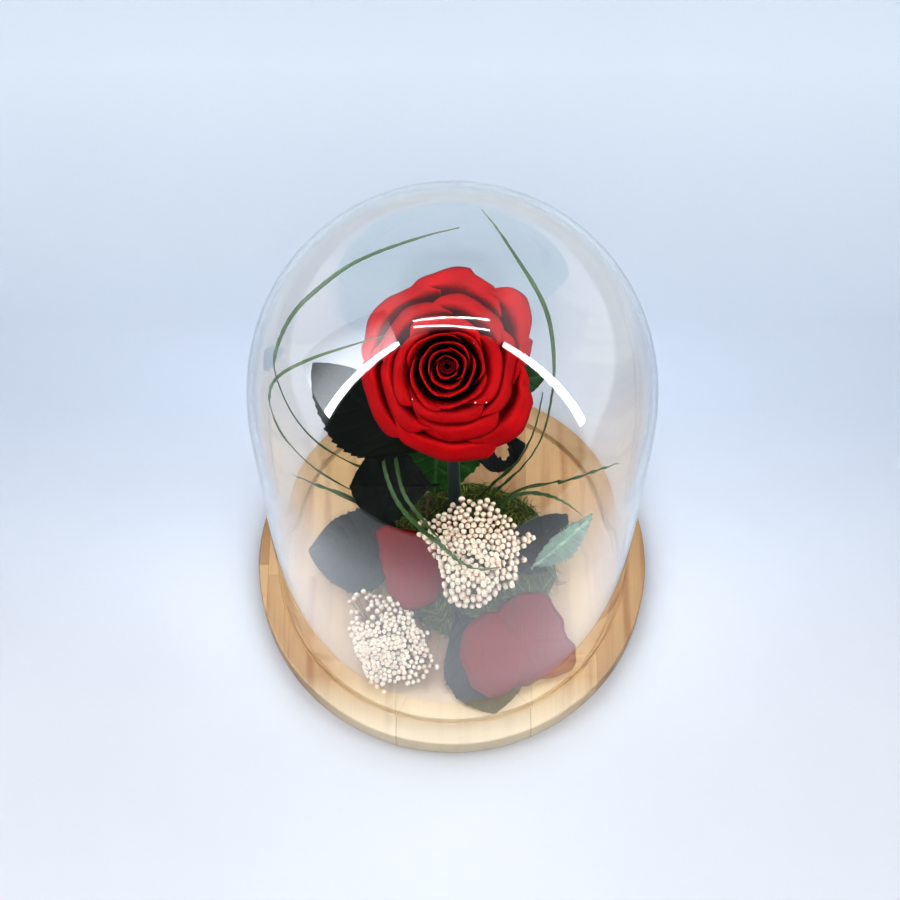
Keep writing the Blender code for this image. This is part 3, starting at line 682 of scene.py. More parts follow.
def head_place(x, y, height):
    """Head coordinates, across, up the face and out of it, put in the world."""
    x, y, height = (np.asarray(value, dtype=float)[..., None] for value in (x, y, height))
    return vector(*HEAD_CENTRE) + x * vector(1.0, 0.0, 0.0) + y * HEAD_RISE + height * HEAD_AXIS


def rim_height(girth):
    """Height of a petal's rim, which falls from the middle whorls outwards."""
    return 15.0 - 3.5 * np.exp(-girth / 4.0) - 0.029 * np.maximum(0.0, girth - 9.0) ** 2


def petal_meridian(girth, share):
    """Radius and height of a petal from its base, share 0, to its rim, share 1: a Bezier
    curve of six points, out from the receptacle, up round the belly, and out over an arch to
    the rim. The inner petals open like a funnel and the outer ones, those that are closed,
    arch out from just under the rim before them."""
    base = -4.6 - 22.0 * girth / HEAD_RADIUS
    rim = rim_height(girth)
    root = RECEPTACLE_RADIUS + 0.5
    spacing = 5.6 * (1.0 - np.exp(-girth / 9.0))
    closed = smooth_step(girth, 11.0, 18.0)
    open_out = np.minimum(0.12 * girth * (1.0 - closed) + (spacing + 1.0) * closed, girth - root - 0.1)
    belly = girth - open_out
    arch = 0.004 * np.maximum(0.0, girth - 5.0) ** 2
    arch = arch * (1.0 - closed) + (rim_height(girth - spacing) - rim - 0.8) * closed
    radii = (
        root,
        root + 0.9 * (belly - root),
        1.09 * belly,
        belly + 0.05 * open_out,
        belly + (0.60 - 0.38 * closed) * open_out,
        girth,
    )
    heights = (
        base,
        base + 0.6,
        base + 0.45 * (rim - base),
        rim - 3.0 + (0.5 + 1.9 * closed) * arch + 1.2 * closed,
        rim + 0.4 + (0.9 + 1.1 * closed) * arch,
        rim,
    )
    blend = [math.comb(5, k) * share**k * (1.0 - share) ** (5 - k) for k in range(6)]
    radius = sum(weight * value for weight, value in zip(blend, radii))
    height = sum(weight * value for weight, value in zip(blend, heights))
    return radius, height


def bud_drop(girth, share):
    """How far the middle whorls lean down the head's face."""
    return -2.2 * np.sin(np.pi * np.clip(girth / 28.0, 0.0, 1.0)) * share


def head_point(girth, share, angle):
    """Radius and height of a point of the head: the meridian's, its radius drawn towards the
    outline the more, the nearer it is to the outer rim."""
    radius, height = petal_meridian(girth, share)
    reach = outline_reach(OUTLINE, angle) / OUTER_GIRTH
    outward = np.clip(radius / HEAD_RADIUS, 0.0, 1.1) ** 3 * np.clip(girth / OUTER_GIRTH, 0.0, 1.0) ** 2
    return radius * (1.0 + outward * (reach - 1.0)), height


def petal_grid(girth, centre, span, twist, round_off, ripple, draw):
    """Grid of points of one petal. It is narrow at its base, its girth grows from one side to
    the other by twist, its rim sinks at the sides to tuck in, rolls out and waves."""
    across, up = np.meshgrid(np.linspace(-1.0, 1.0, PETAL_COLUMNS + 1), np.linspace(0.0, 1.0, PETAL_ROWS + 1))
    width = 0.32 + 0.68 * np.sin(0.5 * np.pi * np.clip(up / 0.65, 0.0, 1.0))
    turn = across * 0.5 * span * width
    sink = round_off * (0.25 * np.abs(across) ** 3 + smooth_step(np.abs(across), 0.55, 1.05))
    share = up * (1.0 - sink)
    angle = centre + turn
    radius, height = head_point(girth + twist * turn / span, share, angle)
    rim = smooth_step(up, 0.62, 1.0)
    size = girth / HEAD_RADIUS
    phases = draw.uniform(0.0, 2.0 * np.pi, 6)
    rate = draw.uniform(0.8, 1.2, 4)
    waves = np.sin(3.2 * rate[0] * across + phases[0]) + 0.45 * np.sin(8.0 * rate[1] * across + phases[1])
    lifts = np.sin(2.8 * rate[2] * across + phases[2]) + 0.35 * np.sin(9.0 * rate[3] * across + phases[3])
    folds = np.sin(11.0 * across + 3.0 * up + phases[4]) * np.sin(np.pi * up) * (1.0 - across**2)
    roll = smooth_step(up, 0.90, 1.0) ** 2
    radius = radius + rim * (0.42 + 0.8 * size) * ripple * waves + (0.15 + 0.15 * size) * roll
    height = height + rim * (0.3 + 0.9 * size) * ripple * lifts - (0.10 + 0.35 * size) * roll
    height = height + 0.5 * size * folds
    point = head_place(radius * np.cos(angle), radius * np.sin(angle) + bud_drop(girth, share), height)
    return point, np.stack((0.5 + 0.5 * across, share), axis=-1)


def petal_velvet(name, settings, velvet, tint=1.0):
    """Preserved rose petal: dyed, dull and velvety. Deep red at its foot, a painted shade of the
    rose's depths, red from the share of its height where that shade ends, with a thin darker
    edge and fine veins running up."""
    shade, shade_ends = velvet
    looks = {"subsurface_weight": 0.35, "subsurface_radius": (1.0, 0.12, 0.10), "subsurface_scale": 2.0 * MM}
    material = plain_material(name, 0.62, specular_ior_level=0.08, **looks)
    coords = node(material, "TexCoord").outputs
    up = node(material, "SeparateXYZ", {0: coords["UV"]}).outputs[1]
    deep, red, rim = settings.deep, settings.red, settings.rim
    # Painted shade: deep red from the foot up to the share where the shade ends
    colour = ramp(material, up, (0.0, deep), (shade_ends - 0.40, deep), (shade_ends, red), (0.96, red), (1.0, rim))
    cloud = noise(material, coords["Object"], per_mm(CLOUD_SIZE), 3.0)
    cloud = ranged(material, cloud, 0.3, 0.7, 0.86 * shade * tint, 1.08 * shade * tint)
    colour = shaded(material, cloud, colour)
    for place, radius in DUST_SPECKS:
        away = vector_maths(material, "DISTANCE", coords["Object"], vector(*place) * MM)
        speck = maths(material, "LESS_THAN", away, radius * MM)
        colour = mixed(material, speck, colour, settings.dust)
    link(material, colour, "Base Color")
    # Veins less than a millimetre apart fan up the petal, and the velvet itself is a fine nap
    fan = vector_maths(material, "MULTIPLY", coords["UV"], (PETAL_VEINS, 2.2, 1.0))
    relief = bump(material, noise(material, fan, 1.0, 2.0, noise_dimensions="2D"), 0.10)
    bump(material, noise(material, coords["Object"], per_mm(NAP_SIZE), 2.0), 0.04, relief)
    return material


def petal_plan():
    """Every petal from the bud outwards, in the order of the numbered solids."""
    for girth, count, span, first, step, round_off in WHORLS:
        for k in range(count):
            yield girth, first + 360.0 * k / count, span, step * span * count / 360.0, round_off
    for centre, span in OUTER_PETALS:
        yield OUTER_GIRTH, centre, span, OUTER_STEP * span * len(OUTER_PETALS) / 360.0, OUTER_ROUND_OFF


def make_bud(settings, material):
    """The innermost petal: a spiral of growing radius about the head's axis, its rim rising
    with the turns, waving and leaning out a little."""
    turns, up = np.meshgrid(np.linspace(0.0, 1.0, 140), np.linspace(0.0, 1.0, 30))
    angle = turns * 2.0 * np.pi * BUD_TURNS
    radius = BUD_RADIUS + BUD_GROWTH * BUD_TURNS * turns + 0.35 * smooth_step(up, 0.88, 1.0) ** 2
    height = (RECEPTACLE_TOP + 0.8) + (BUD_HEIGHT - 1.2 * (1.0 - turns)) * up + 0.2 * up * np.sin(3.0 * angle)
    grid = head_place(radius * np.cos(angle), radius * np.sin(angle) + bud_drop(radius, up), height)
    piece = sheet("petal_01", grid, settings.thickness / MM, material, np.stack((turns, up), axis=-1))
    belongs(piece, ["rose_petal_01"])


def make_rose_head(settings):
    """The bud and, round it, every petal of the plan, in three tones of velvet in turn."""
    draw = np.random.default_rng(7)
    inner, outer = [], []
    for k, tint in enumerate(PETAL_TINTS):
        inner.append(petal_velvet(f"petal_velvet_inner_{k}", settings, INNER_SHADED_VELVET, tint))
        outer.append(petal_velvet(f"petal_velvet_outer_{k}", settings, OUTER_VELVET, tint))
    make_bud(settings, petal_velvet("petal_velvet_bud", settings, BUD_SHADED_VELVET))
    ripple = settings.ripple / MM
    for number, (girth, centre, span, twist, round_off) in enumerate(petal_plan(), start=2):
        grid, uv = petal_grid(girth, math.radians(centre), math.radians(span), twist, round_off, ripple, draw)
        shades = inner if girth < INNER_GIRTH else outer
        velvet = shades[number % len(PETAL_TINTS)]
        piece = sheet(f"petal_{number:02d}", grid, settings.thickness / MM, velvet, uv)
        belongs(piece, [f"rose_petal_{number:02d}"])


# Stem and calyx

STEM_RADIUS = 2.6
STEM_FOOT = (1.2, 16.1)
STEM_BOW = ((1.2, 16.3, 18.0), (0.6, 21.0, 45.0), (-0.8, 29.0, 75.0), (-1.6, 33.6, 94.0))
# Where the stem's nodes lie and how long they are, as shares of its length
STEM_NODES = (0.30, 0.52, 0.78)
NODE_LENGTH = 0.018
HIP_RADIUS = 5.2
SEPAL_COUNT = 5
SEPAL_LENGTH = 15.0
SEPAL_HEIGHT = -29.2
SEPAL_FALL = 4.5


def dyed_bark(settings):
    """Rose stem dyed a dark bluish green, with the satin of waxed bark and fine lengthwise
    streaks."""
    return streaked("dyed_bark", 0.38, (14.0, 5.0), settings.stem, settings.stem_streak, 0.15)


def make_stem(settings):
    """A round bar along the stem's path, a little thicker at its nodes."""
    foot = vector(*STEM_FOOT, BOARD_TOP + 0.3)
    top = head_place(0.0, 0.0, HIP_FOOT - 0.3)
    path = smooth_path([foot, *STEM_BOW, top], 120)
    share = np.linspace(0.0, 1.0, len(path))[:, None]
    angle = around(28)
    nodes = sum(np.exp(-(((share - place) / NODE_LENGTH) ** 2)) for place in STEM_NODES)
    radii = STEM_RADIUS * (0.93 + 0.07 * nodes + 0.02 * np.sin(5.0 * angle + 9.0 * share))
    piece = tube("rose_stem", path, radii, len(angle), dyed_bark(settings))
    belongs(piece, ["stem"])


def make_calyx(settings):
    """Rings about the head's axis: the hip, a star of five sepals drawn out from it, and the
    receptacle. The star's reach is a cosine of five waves raised to a power."""
    angle = around(160)
    star = (0.5 + 0.5 * np.cos(SEPAL_COUNT * angle)) ** 1.6
    reach = HIP_RADIUS + SEPAL_LENGTH * star
    under = SEPAL_HEIGHT - 1.6
    over = SEPAL_HEIGHT + 0.6
    fall = SEPAL_HEIGHT - SEPAL_FALL * star**2
    rings = [(STEM_RADIUS, HIP_FOOT)]
    for share in np.linspace(0.15, 1.0, 8):
        swell = HIP_RADIUS * math.sin(0.5 * math.pi * min(1.0, 0.35 + 0.75 * share))
        rings.append((swell, HIP_FOOT + share * (under - HIP_FOOT)))
    for share in np.linspace(0.2, 1.0, 6):
        rings.append((HIP_RADIUS + (reach - HIP_RADIUS) * share, under + (fall + 0.7 - SEPAL_HEIGHT) * share))
    for share in np.linspace(1.0, 0.0, 6):
        rings.append((4.4 + (reach - 4.4) * share, over + (fall - over) * share))
    rings.append((RECEPTACLE_RADIUS, SEPAL_HEIGHT + 1.8))
    rings.append((RECEPTACLE_RADIUS, RECEPTACLE_TOP - 0.4))
    placed = [head_place(r * np.cos(angle), r * np.sin(angle), h) for r, h in rings]
    ends = (head_place(0.0, 0.0, HIP_FOOT), head_place(0.0, 0.0, RECEPTACLE_TOP))
    piece = ring_body("rose_calyx", np.stack(placed), *ends, leaf_skin("sepal_skin", settings.green, 0.5))
    belongs(piece, ["calyx"])


# Leaves

LEAF_THICKNESS = 0.35
# Each leaf: base, tip, half widths to either side, the way its upper side faces, its arch,
# fold, cup, length of stalk and where it is widest, its colour, and its record slot
LEAVES = {
    "leaf_upper_left": (
        (-4.4, 22.5, 58.0), (-49.4, 32.4, 111.0), (16.0, 19.0), (0.15, -0.90, 0.40),
        (4.0, 0.06, 0.0, 0.10, 0.90), "dark", "leaf_dark",
    ),
    "leaf_lower_left": (
        (-4.6, 17.5, 39.5), (-38.5, 8.2, 57.5), (17.5, 14.5), (0.1, -0.6, 0.8),
        (3.0, 0.06, 0.0, 0.10, 1.50), "dark", "leaf_dark",
    ),
    # This leaf takes the brighter copy of the green, painted light
    "leaf_behind_stem": (
        (-4.6, 33.5, 82.0), (-7.0, 23.5, 17.5), (21.0, 20.0), (0.0, -1.0, 0.15),
        (-2.0, 0.03, 0.0, 0.10, 0.90), "fresh", "leaf_green",
    ),
    "leaf_right_of_rose": (
        (2.6, 32.5, 94.0), (33.5, 33.0, 101.0), (9.0, 9.0), (0.0, -0.5, 0.9),
        (2.0, 0.12, 0.0, 0.12, 0.80), "green", "leaf_green",
    ),
    "leaf_on_board_left": (
        (-17.5, -1.5, 18.0), (-56.0, 2.0, 15.2), (16.5, 16.5), (0.0, 0.0, 1.0),
        (1.5, -0.06, 0.0, 0.05, 0.80), "dark", "leaf_dark",
    ),
    "leaf_on_board_right": (
        (21.5, -12.5, 20.5), (47.0, 14.0, 15.0), (10.0, 10.0), (0.0, 0.0, 1.0),
        (1.5, -0.05, 0.0, 0.06, 0.90), "dark", "leaf_dark",
    ),
    "leaf_pale_right": (
        (31.0, -10.5, 22.0), (57.5, 9.3, 25.5), (4.6, 4.6), (0.3, -0.5, 0.8),
        (2.0, 0.05, 0.0, 0.06, 0.90), "pale", "leaf_pale",
    ),
    "leaf_on_board_front": (
        (0.5, -21.0, 20.0), (16.0, -61.8, 11.9), (12.5, 20.5), (0.0, 0.0, 1.0),
        (-1.2, -0.02, 0.0, 0.08, 1.35), "dark", "leaf_dark",
    ),
    "leaf_with_hole": (
        (6.5, 20.5, 60.0), (27.0, 20.0, 71.0), (8.0, 8.0), (0.0, -0.6, 0.8),
        (1.5, 0.10, 0.05, 0.12, 0.80), "dark", "leaf_dark",
    ),
}
TORN_LEAF = "leaf_with_hole"
# The hole's middle and half sizes, along the leaf and across it, as shares of the blade
HOLE_MIDDLE = (0.60, 0.02)
HOLE_HALF_SIZES = (0.135, 0.50)
# How rough the skin of each colour is
LEAF_SKINS = {"dark": 0.42, "green": 0.45, "fresh": 0.45, "pale": 0.55}
# Size of the mottling and of the wrinkles, in millimetres
MOTTLE_SIZE = 4.0
WRINKLE_SIZE = 0.6
LEAF_ROWS = 190
LEAF_SIDES = 33
SIDE_VEINS = 7.0


def leaf_skin(name, colour, roughness):
    """Preserved rose leaf: dyed and softened, with a leathery satin. It is darker between the
    veins and a little paler on them, and finely wrinkled."""
    material = plain_material(name, roughness, specular_ior_level=0.16)
    coords = node(material, "TexCoord").outputs["Object"]
    shade = ranged(material, noise(material, coords, per_mm(MOTTLE_SIZE), 4.0), 0.3, 0.7, 0.75, 1.35)
    tone = shaded(material, shade, colour)
    vein = node(material, "Attribute", attribute_name="vein").outputs["Fac"]
    lighter = node(material, "HueSaturation", {"Value": 1.9, "Saturation": 0.8, "Color": tone}).outputs[0]
    link(material, mixed(material, vein, tone, lighter), "Base Color")
    bump(material, noise(material, coords, per_mm(WRINKLE_SIZE), 3.0), 0.09)
    return material


def leaf_axes(base, tip, face):
    """The leaf's length, and its directions along, aside and up from its upper side."""
    along = vector(*tip) - vector(*base)
    length = np.linalg.norm(along)
    along = along / length
    aside = unit(np.cross(vector(*face), along))
    return length, along, aside, np.cross(along, aside)


def leaf_surface(base, tip, half_widths, face, form, share, side, relief, draw):
    """Points of a leaf and how much each lies on a vein. The half width is a lopsided sine of
    the share of the blade, the blade arches along its length, folds up along its midrib and
    waves at its edges, and side veins run out at a slant with the skin swelling between them."""
    arch, fold, cup, stalk, widest = form
    length, along, aside, upward = leaf_axes(base, tip, face)
    half_width = np.where(side < 0.0, *half_widths)
    blade = np.clip((share - stalk) / (1.0 - stalk), 0.0, 1.0)
    width = np.maximum(half_width * np.sin(np.pi * blade**widest) ** 0.75, 0.45)
    out = np.abs(side)
    vein_phase = SIDE_VEINS * (blade - 0.30 * out * half_width / length * 2.0)
    between = np.abs(np.sin(np.pi * vein_phase))
    on_side_vein = np.exp(-((between / 0.13) ** 2)) * smooth_step(1.0 - out, 0.02, 0.2)
    on_midrib = np.exp(-((out * width / 0.45) ** 2))
    vein = np.clip(on_side_vein + on_midrib, 0.0, 1.0) * (blade > 0.0)
    phases = draw.uniform(0.0, 2.0 * np.pi, 3)
    ripples = np.sin(9.0 * blade + 1.5 * np.sign(side) + phases[0]) + 0.5 * np.sin(17.0 * blade + phases[1])
    wave = out**2 * ripples
    height = arch * np.sin(np.pi * share) + (fold * out - cup * side**2) * width
    height = height + 0.045 * half_width * wave * np.sin(np.pi * np.clip(blade, 0.02, 1.0))
    height = height - relief * vein + 0.5 * relief * np.sqrt(between) * (width / half_width)
    points = (
        vector(*base)
        + (share * length)[..., None] * along
        + (side * width)[..., None] * aside
        + height[..., None] * upward
    )
    return points, vein


def tooth_reach(share, side, teeth, draw):
    """How far the edge stands out: each tooth swells slowly, drops back at its tip, and is of
    its own size, and some stretches of the edge have shrunk back."""
    sizes = draw.uniform(0.35, 1.25, (2, teeth + 2))
    number = np.clip(share * teeth, 0.0, teeth + 1.0)
    saw = number % 1.0
    size = sizes[(side > 0.0).astype(int), number.astype(int)]
    turn = draw.uniform(0.0, 2.0 * np.pi, 2)
    shrunk = np.sin(7.0 * share + turn[0]) * np.sin(15.0 * share + turn[1] + side)
    return 1.0 + (0.075 * size * saw**1.3 - 0.03 + 0.035 * shrunk) * smooth_step(np.abs(side), 0.72, 1.0)


def whole_blade(teeth, draw):
    """Share and side of an even grid over the blade, drawn out to its teeth at the edges."""
    steps = (np.linspace(0.0, 1.0, LEAF_ROWS), np.linspace(-1.0, 1.0, LEAF_SIDES))
    share, side = np.meshgrid(*steps, indexing="ij")
    return share, side * tooth_reach(share, side, teeth, draw)


def torn_blade(teeth, draw):
    """Share and side of rings that blend from the ragged edge of a torn hole, a circle with
    three waves on it, to the toothed outline of the leaf."""
    turn = around(260)
    blend = np.linspace(0.0, 1.0, 16)[:, None]
    outer_share = 0.5 - 0.5 * np.cos(turn)
    outer_side = np.sign(np.sin(turn)) * np.ones_like(turn)
    outer_side = outer_side * tooth_reach(outer_share, outer_side, teeth, draw)
    ragged = 1.0 + 0.16 * np.sin(3.0 * turn + 1.0) + 0.10 * np.sin(7.0 * turn) + 0.05 * np.sin(13.0 * turn)
    hole_share = HOLE_MIDDLE[0] - HOLE_HALF_SIZES[0] * np.cos(turn) * ragged
    hole_side = HOLE_MIDDLE[1] + HOLE_HALF_SIZES[1] * np.sin(turn) * ragged
    return hole_share + (outer_share - hole_share) * blend, hole_side + (outer_side - hole_side) * blend


def make_leaves(settings):
    """Each leaf as a thin sheet, with how much each point lies on a vein for the leaf skin."""
    skins = {}
    for tone, roughness in LEAF_SKINS.items():
        skins[tone] = leaf_skin("leaf_skin_" + tone, getattr(settings, tone), roughness)
    for number, (name, (*shape, form, colour, slot)) in enumerate(LEAVES.items()):
        torn = name == TORN_LEAF
        draw = np.random.default_rng(20 + number)
        share, side = (torn_blade if torn else whole_blade)(settings.teeth, draw)
        points, vein = leaf_surface(*shape, form, share, side, settings.vein_depth / MM, draw)
        uv = np.stack((0.5 + 0.5 * side, share), axis=-1)
        title = ("torn_" if torn else "whole_") + name
        piece = sheet(title, points, LEAF_THICKNESS, skins[colour], uv, wrap=torn)
        attribute = piece.data.attributes.new("vein", "FLOAT", "POINT")
        attribute.data.foreach_set("value", np.tile(vein.ravel(), 2).astype(np.float32))
        belongs(piece, [name])


# Moss

MOSS_CENTRE = (7.0, -1.0)
MOSS_HALF_SIZES = (35.0, 32.0)
MOSS_HEIGHT = 9.0
MOSS_FLOOR = BOARD_TOP + 0.3
# The cushion lies this far below the fibres' ground
CUSHION_DROP = 0.7
FIBRE_POINTS = 10
FIBRE_SIDES = 3
# From the least to the most: a fibre's length and radius, and how far it bends and stands up
FIBRE_LENGTHS = (4.0, 9.5)
FIBRE_RADII = (0.16, 0.34)
FIBRE_BENDS = (-1.4, 1.4)
FIBRE_LIFTS = (0.3, 2.2)
# Tone and share that the cushion's skin has all over
CUSHION_TONE = (0.12, 0.3)


def moss_height(x, y):
    """Height of the moss above the board: a low dome with lumps of a few millimetres."""
    away = ((x - MOSS_CENTRE[0]) / MOSS_HALF_SIZES[0]) ** 2 + ((y - MOSS_CENTRE[1]) / MOSS_HALF_SIZES[1]) ** 2
    dome = np.clip(1.0 - away, 0.0, 1.0) ** 0.6
    lump = np.sin(0.42 * x + 1.0) * np.sin(0.37 * y) + 0.6 * np.sin(0.5 * (x + y))
    return MOSS_HEIGHT * dome + 0.6 * lump * np.sqrt(dome)


def dry_moss(settings):
    """Dried moss: matt fibres from dark olive to straw, each of its own tone, paler at the tip."""
    material = plain_material("dry_moss", 0.9)
    own, along = uv_parts(material)
    stops = ((0.0, settings.moss_deep), (0.45, settings.moss), (0.8, settings.moss_bright))
    tone = ramp(material, own, *stops, (1.0, settings.moss_straw))
    shade = ranged(material, along, 0.0, 1.0, 0.7, 1.5)
    link(material, shaded(material, shade, tone), "Base Color")
    return material


def on_mound(reach, angle):
    """X and Y of places on the mound, at this share of the way to its edge."""
    x = MOSS_CENTRE[0] + MOSS_HALF_SIZES[0] * reach * np.cos(angle)
    y = MOSS_CENTRE[1] + MOSS_HALF_SIZES[1] * reach * np.sin(angle)
    return x, y


def moss_shoots(strands, draw):
    """Bent fibres that lie on the mound, as arcs whose width swells and pinches in turn, as
    leafy shoots do. Returns points, faces and, for each point, its tone and its share."""
    reach = np.sqrt(draw.uniform(0.0, 1.0, strands))
    place = draw.uniform(0.0, 2.0 * np.pi, strands)
    x, y = on_mound(0.93 * reach, place)
    heading = draw.uniform(0.0, 2.0 * np.pi, strands)
    length = draw.uniform(*FIBRE_LENGTHS, strands)[:, None]
    bend = draw.uniform(*FIBRE_BENDS, strands)
    lift = draw.uniform(*FIBRE_LIFTS, strands)
    along = np.linspace(0.0, 1.0, FIBRE_POINTS)
    way = heading[:, None] + bend[:, None] * along
    path_x = x[:, None] + np.cumsum(np.cos(way), axis=1) * length / FIBRE_POINTS
    path_y = y[:, None] + np.cumsum(np.sin(way), axis=1) * length / FIBRE_POINTS
    ground = np.maximum(moss_height(path_x, path_y), 0.4)
    rise = lift[:, None] * np.sin(np.pi * np.clip(along * 0.9 + 0.05, 0.0, 1.0)) - 0.2
    paths = np.stack((path_x, path_y, MOSS_FLOOR + ground + rise), axis=-1)
    pinch = np.where(np.arange(FIBRE_POINTS) % 2 == 0, 0.55, 1.25) * (1.0 - 0.75 * along**2)
    radii = draw.uniform(*FIBRE_RADII, strands)[:, None] * pinch
    points, faces, share = strand_batch(paths, radii, FIBRE_SIDES, 0.5)
    tone = np.repeat(draw.beta(2.0, 2.6, strands), FIBRE_POINTS * FIBRE_SIDES)
    return points, faces, np.stack((tone, share), axis=-1)


def make_moss(settings):
    """A lumpy cushion of rings that follow the moss's height, and the shoots that lie on it."""
    draw = np.random.default_rng(3)
    shoots = moss_shoots(settings.strands, draw)
    angle = around(96)
    outward = np.linspace(0.995, 0.0, 26, endpoint=False)[:, None]
    x, y = on_mound(outward * (0.97 + 0.03 * np.sin(4.0 * angle + 1.0)), angle)
    rough = draw.uniform(-0.35, 0.35, x.shape)
    z = MOSS_FLOOR + np.maximum(moss_height(x, y) - CUSHION_DROP + rough, 0.15)
    rings = np.stack((x, y, z), axis=-1)
    skirt = rings[:1] * (1.0, 1.0, 0.0) + (0.0, 0.0, MOSS_FLOOR)
    body = np.concatenate((skirt, rings))
    bottom = vector(*MOSS_CENTRE, MOSS_FLOOR)
    top = vector(*MOSS_CENTRE, MOSS_FLOOR + moss_height(*MOSS_CENTRE) - CUSHION_DROP)
    skin = dry_moss(settings)
    uv = np.tile(CUSHION_TONE, (body.size // 3 + 2, 1))
    mound = ring_body("moss_cushion", body, bottom, top, skin, uv)
    belongs(mound, ["moss_mound"])
    points, faces, shoot_uv = shoots
    fibres = put_mesh("moss_fibres", points, faces, skin, shoot_uv)
    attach(fibres, "root")


def on_moss(x, y):
    """A place just above the moss, or above the board beside it."""
    return x, y, MOSS_FLOOR + float(moss_height(x, y)) + 1.0


# Grass

GRASS_THICKNESS = 0.3
# Each blade: its greatest width and its route from the root in the moss to the tip
GRASS_BLADES = (
    (1.9, (
        on_moss(-9.0, 17.5), (-24.0, 19.0, 42.0), (-44.0, 13.0, 76.0), (-55.5, 13.0, 106.0),
        (-59.5, 14.5, 132.0), (-59.0, 14.0, 150.0), (-52.0, 19.5, 168.0), (-41.5, 22.0, 182.0),
        (-29.0, 27.5, 190.0), (-8.0, 36.0, 190.5), (2.0, 41.0, 187.0),
    )),
    (1.2, (
        on_moss(-10.0, 14.0), (-34.0, 12.5, 38.0), (-48.0, 8.5, 68.0), (-57.5, 6.5, 95.0),
        (-61.0, 4.5, 118.0), (-61.5, 3.5, 138.0), (-58.0, 5.5, 152.0), (-45.6, 5.5, 165.0),
        (-35.5, 5.5, 172.0), (-26.0, 7.5, 174.5), (-17.5, 10.5, 174.0),
    )),
    (1.9, (
        on_moss(-10.0, 10.5), (-20.0, 9.0, 27.0), (-31.0, 7.0, 40.0), (-41.0, 7.0, 52.0),
        (-52.0, 6.5, 63.0), (-60.5, 5.5, 73.0),
    )),
    (1.8, (
        on_moss(-12.0, 19.5), (-24.5, 27.5, 40.0), (-26.0, 25.0, 56.0), (-25.5, 14.5, 62.0),
        (-21.0, 2.0, 60.0), (-15.0, -5.0, 57.0), (-9.8, -9.5, 54.5), (-2.8, -14.5, 52.0),
        (2.8, -19.5, 50.6), (10.5, -22.0, 49.6), (18.0, -20.5, 48.5),
    )),
    (1.6, (
        on_moss(-9.5, 20.5), (-20.5, 24.8, 38.0), (-21.8, 24.5, 56.5), (-20.5, 14.5, 61.5),
        (-18.0, 3.5, 62.0), (-12.4, -4.2, 60.5), (-6.4, -10.8, 57.0), (-4.0, -13.5, 55.5),
    )),
    (1.8, (
        on_moss(13.0, 17.5), (16.5, 18.6, 30.0), (26.0, 17.5, 55.0), (32.2, 15.5, 85.0),
        (33.8, 14.5, 118.0), (33.6, 14.0, 144.0), (31.0, 18.0, 168.0), (26.4, 24.0, 178.0),
        (19.6, 30.5, 187.0), (14.0, 38.0, 191.0), (9.0, 45.0, 191.5),
    )),
    (1.5, (
        on_moss(10.5, 20.5), (15.0, 21.0, 31.0), (24.0, 21.0, 51.0), (29.6, 22.0, 76.0),
        (31.2, 21.0, 102.0), (31.4, 19.8, 114.0),
    )),
    (1.5, (
        on_moss(15.5, 15.0), (26.5, 19.0, 32.0), (40.0, 12.5, 52.0), (53.0, 7.0, 75.0),
        (61.0, 1.2, 94.0),
    )),
    (1.5, (
        on_moss(17.0, 12.0), (22.0, 16.0, 28.0), (29.5, 16.5, 34.0), (41.0, 11.8, 38.5),
        (51.5, 5.5, 35.0),
    )),
)


def grass_skin(settings):
    """Preserved bear grass: satin, with fine lengthwise ribs, and drying to straw at the tip."""
    material = plain_material("grass_skin", 0.42)
    coords = node(material, "TexCoord").outputs
    along = node(material, "SeparateXYZ", {0: coords["UV"]}).outputs[1]
    stops = ((0.0, settings.grass_root), (0.35, settings.grass), (0.85, settings.grass))
    body = ramp(material, along, *stops, (1.0, settings.grass_tip))
    ribs = vector_maths(material, "MULTIPLY", coords["UV"], (7.0, 3.0, 1.0))
    rib = noise(material, ribs, 1.0, 2.0)
    shade = ranged(material, rib, 0.3, 0.7, 0.75, 1.25)
    link(material, shaded(material, shade, body), "Base Color")
    bump(material, rib, 0.12)
    return material


def make_grass(settings):
    """Each blade is a strip along its route that faces away from the dome's axis, folded up
    along its middle, its width a half sine drawn out towards the tip."""
    material = grass_skin(settings)
    side = np.linspace(-1.0, 1.0, 7)
    for number, (width, route) in enumerate(GRASS_BLADES, start=1):
        rows = 16 * len(route)
        path = eased(smooth_path(route, rows), 14)
        along = unit(np.gradient(path, axis=0))
        outward = path * (0.7, 0.7, 0.0) + (0.0, -22.0, 45.0)
        aside = unit(np.cross(outward, along))
        raised = np.cross(along, aside)
        share = np.linspace(0.0, 1.0, rows)
        half = 0.5 * width * np.maximum(np.sin(np.pi * (0.12 + 0.88 * share) ** 1.2), 0.10)
        out = (half[:, None] * side)[..., None]
        fold = 0.35 * half[:, None] * np.abs(side)
        grid = path[:, None] + out * aside[:, None] + fold[..., None] * raised[:, None]
        uv = np.stack(np.meshgrid(0.5 + 0.5 * side, share), axis=-1)
        piece = sheet(f"bear_grass_{number:02d}", grid, GRASS_THICKNESS, material, uv)
        belongs(piece, [f"grass_blade_{number:02d}"])


# Rice flowers

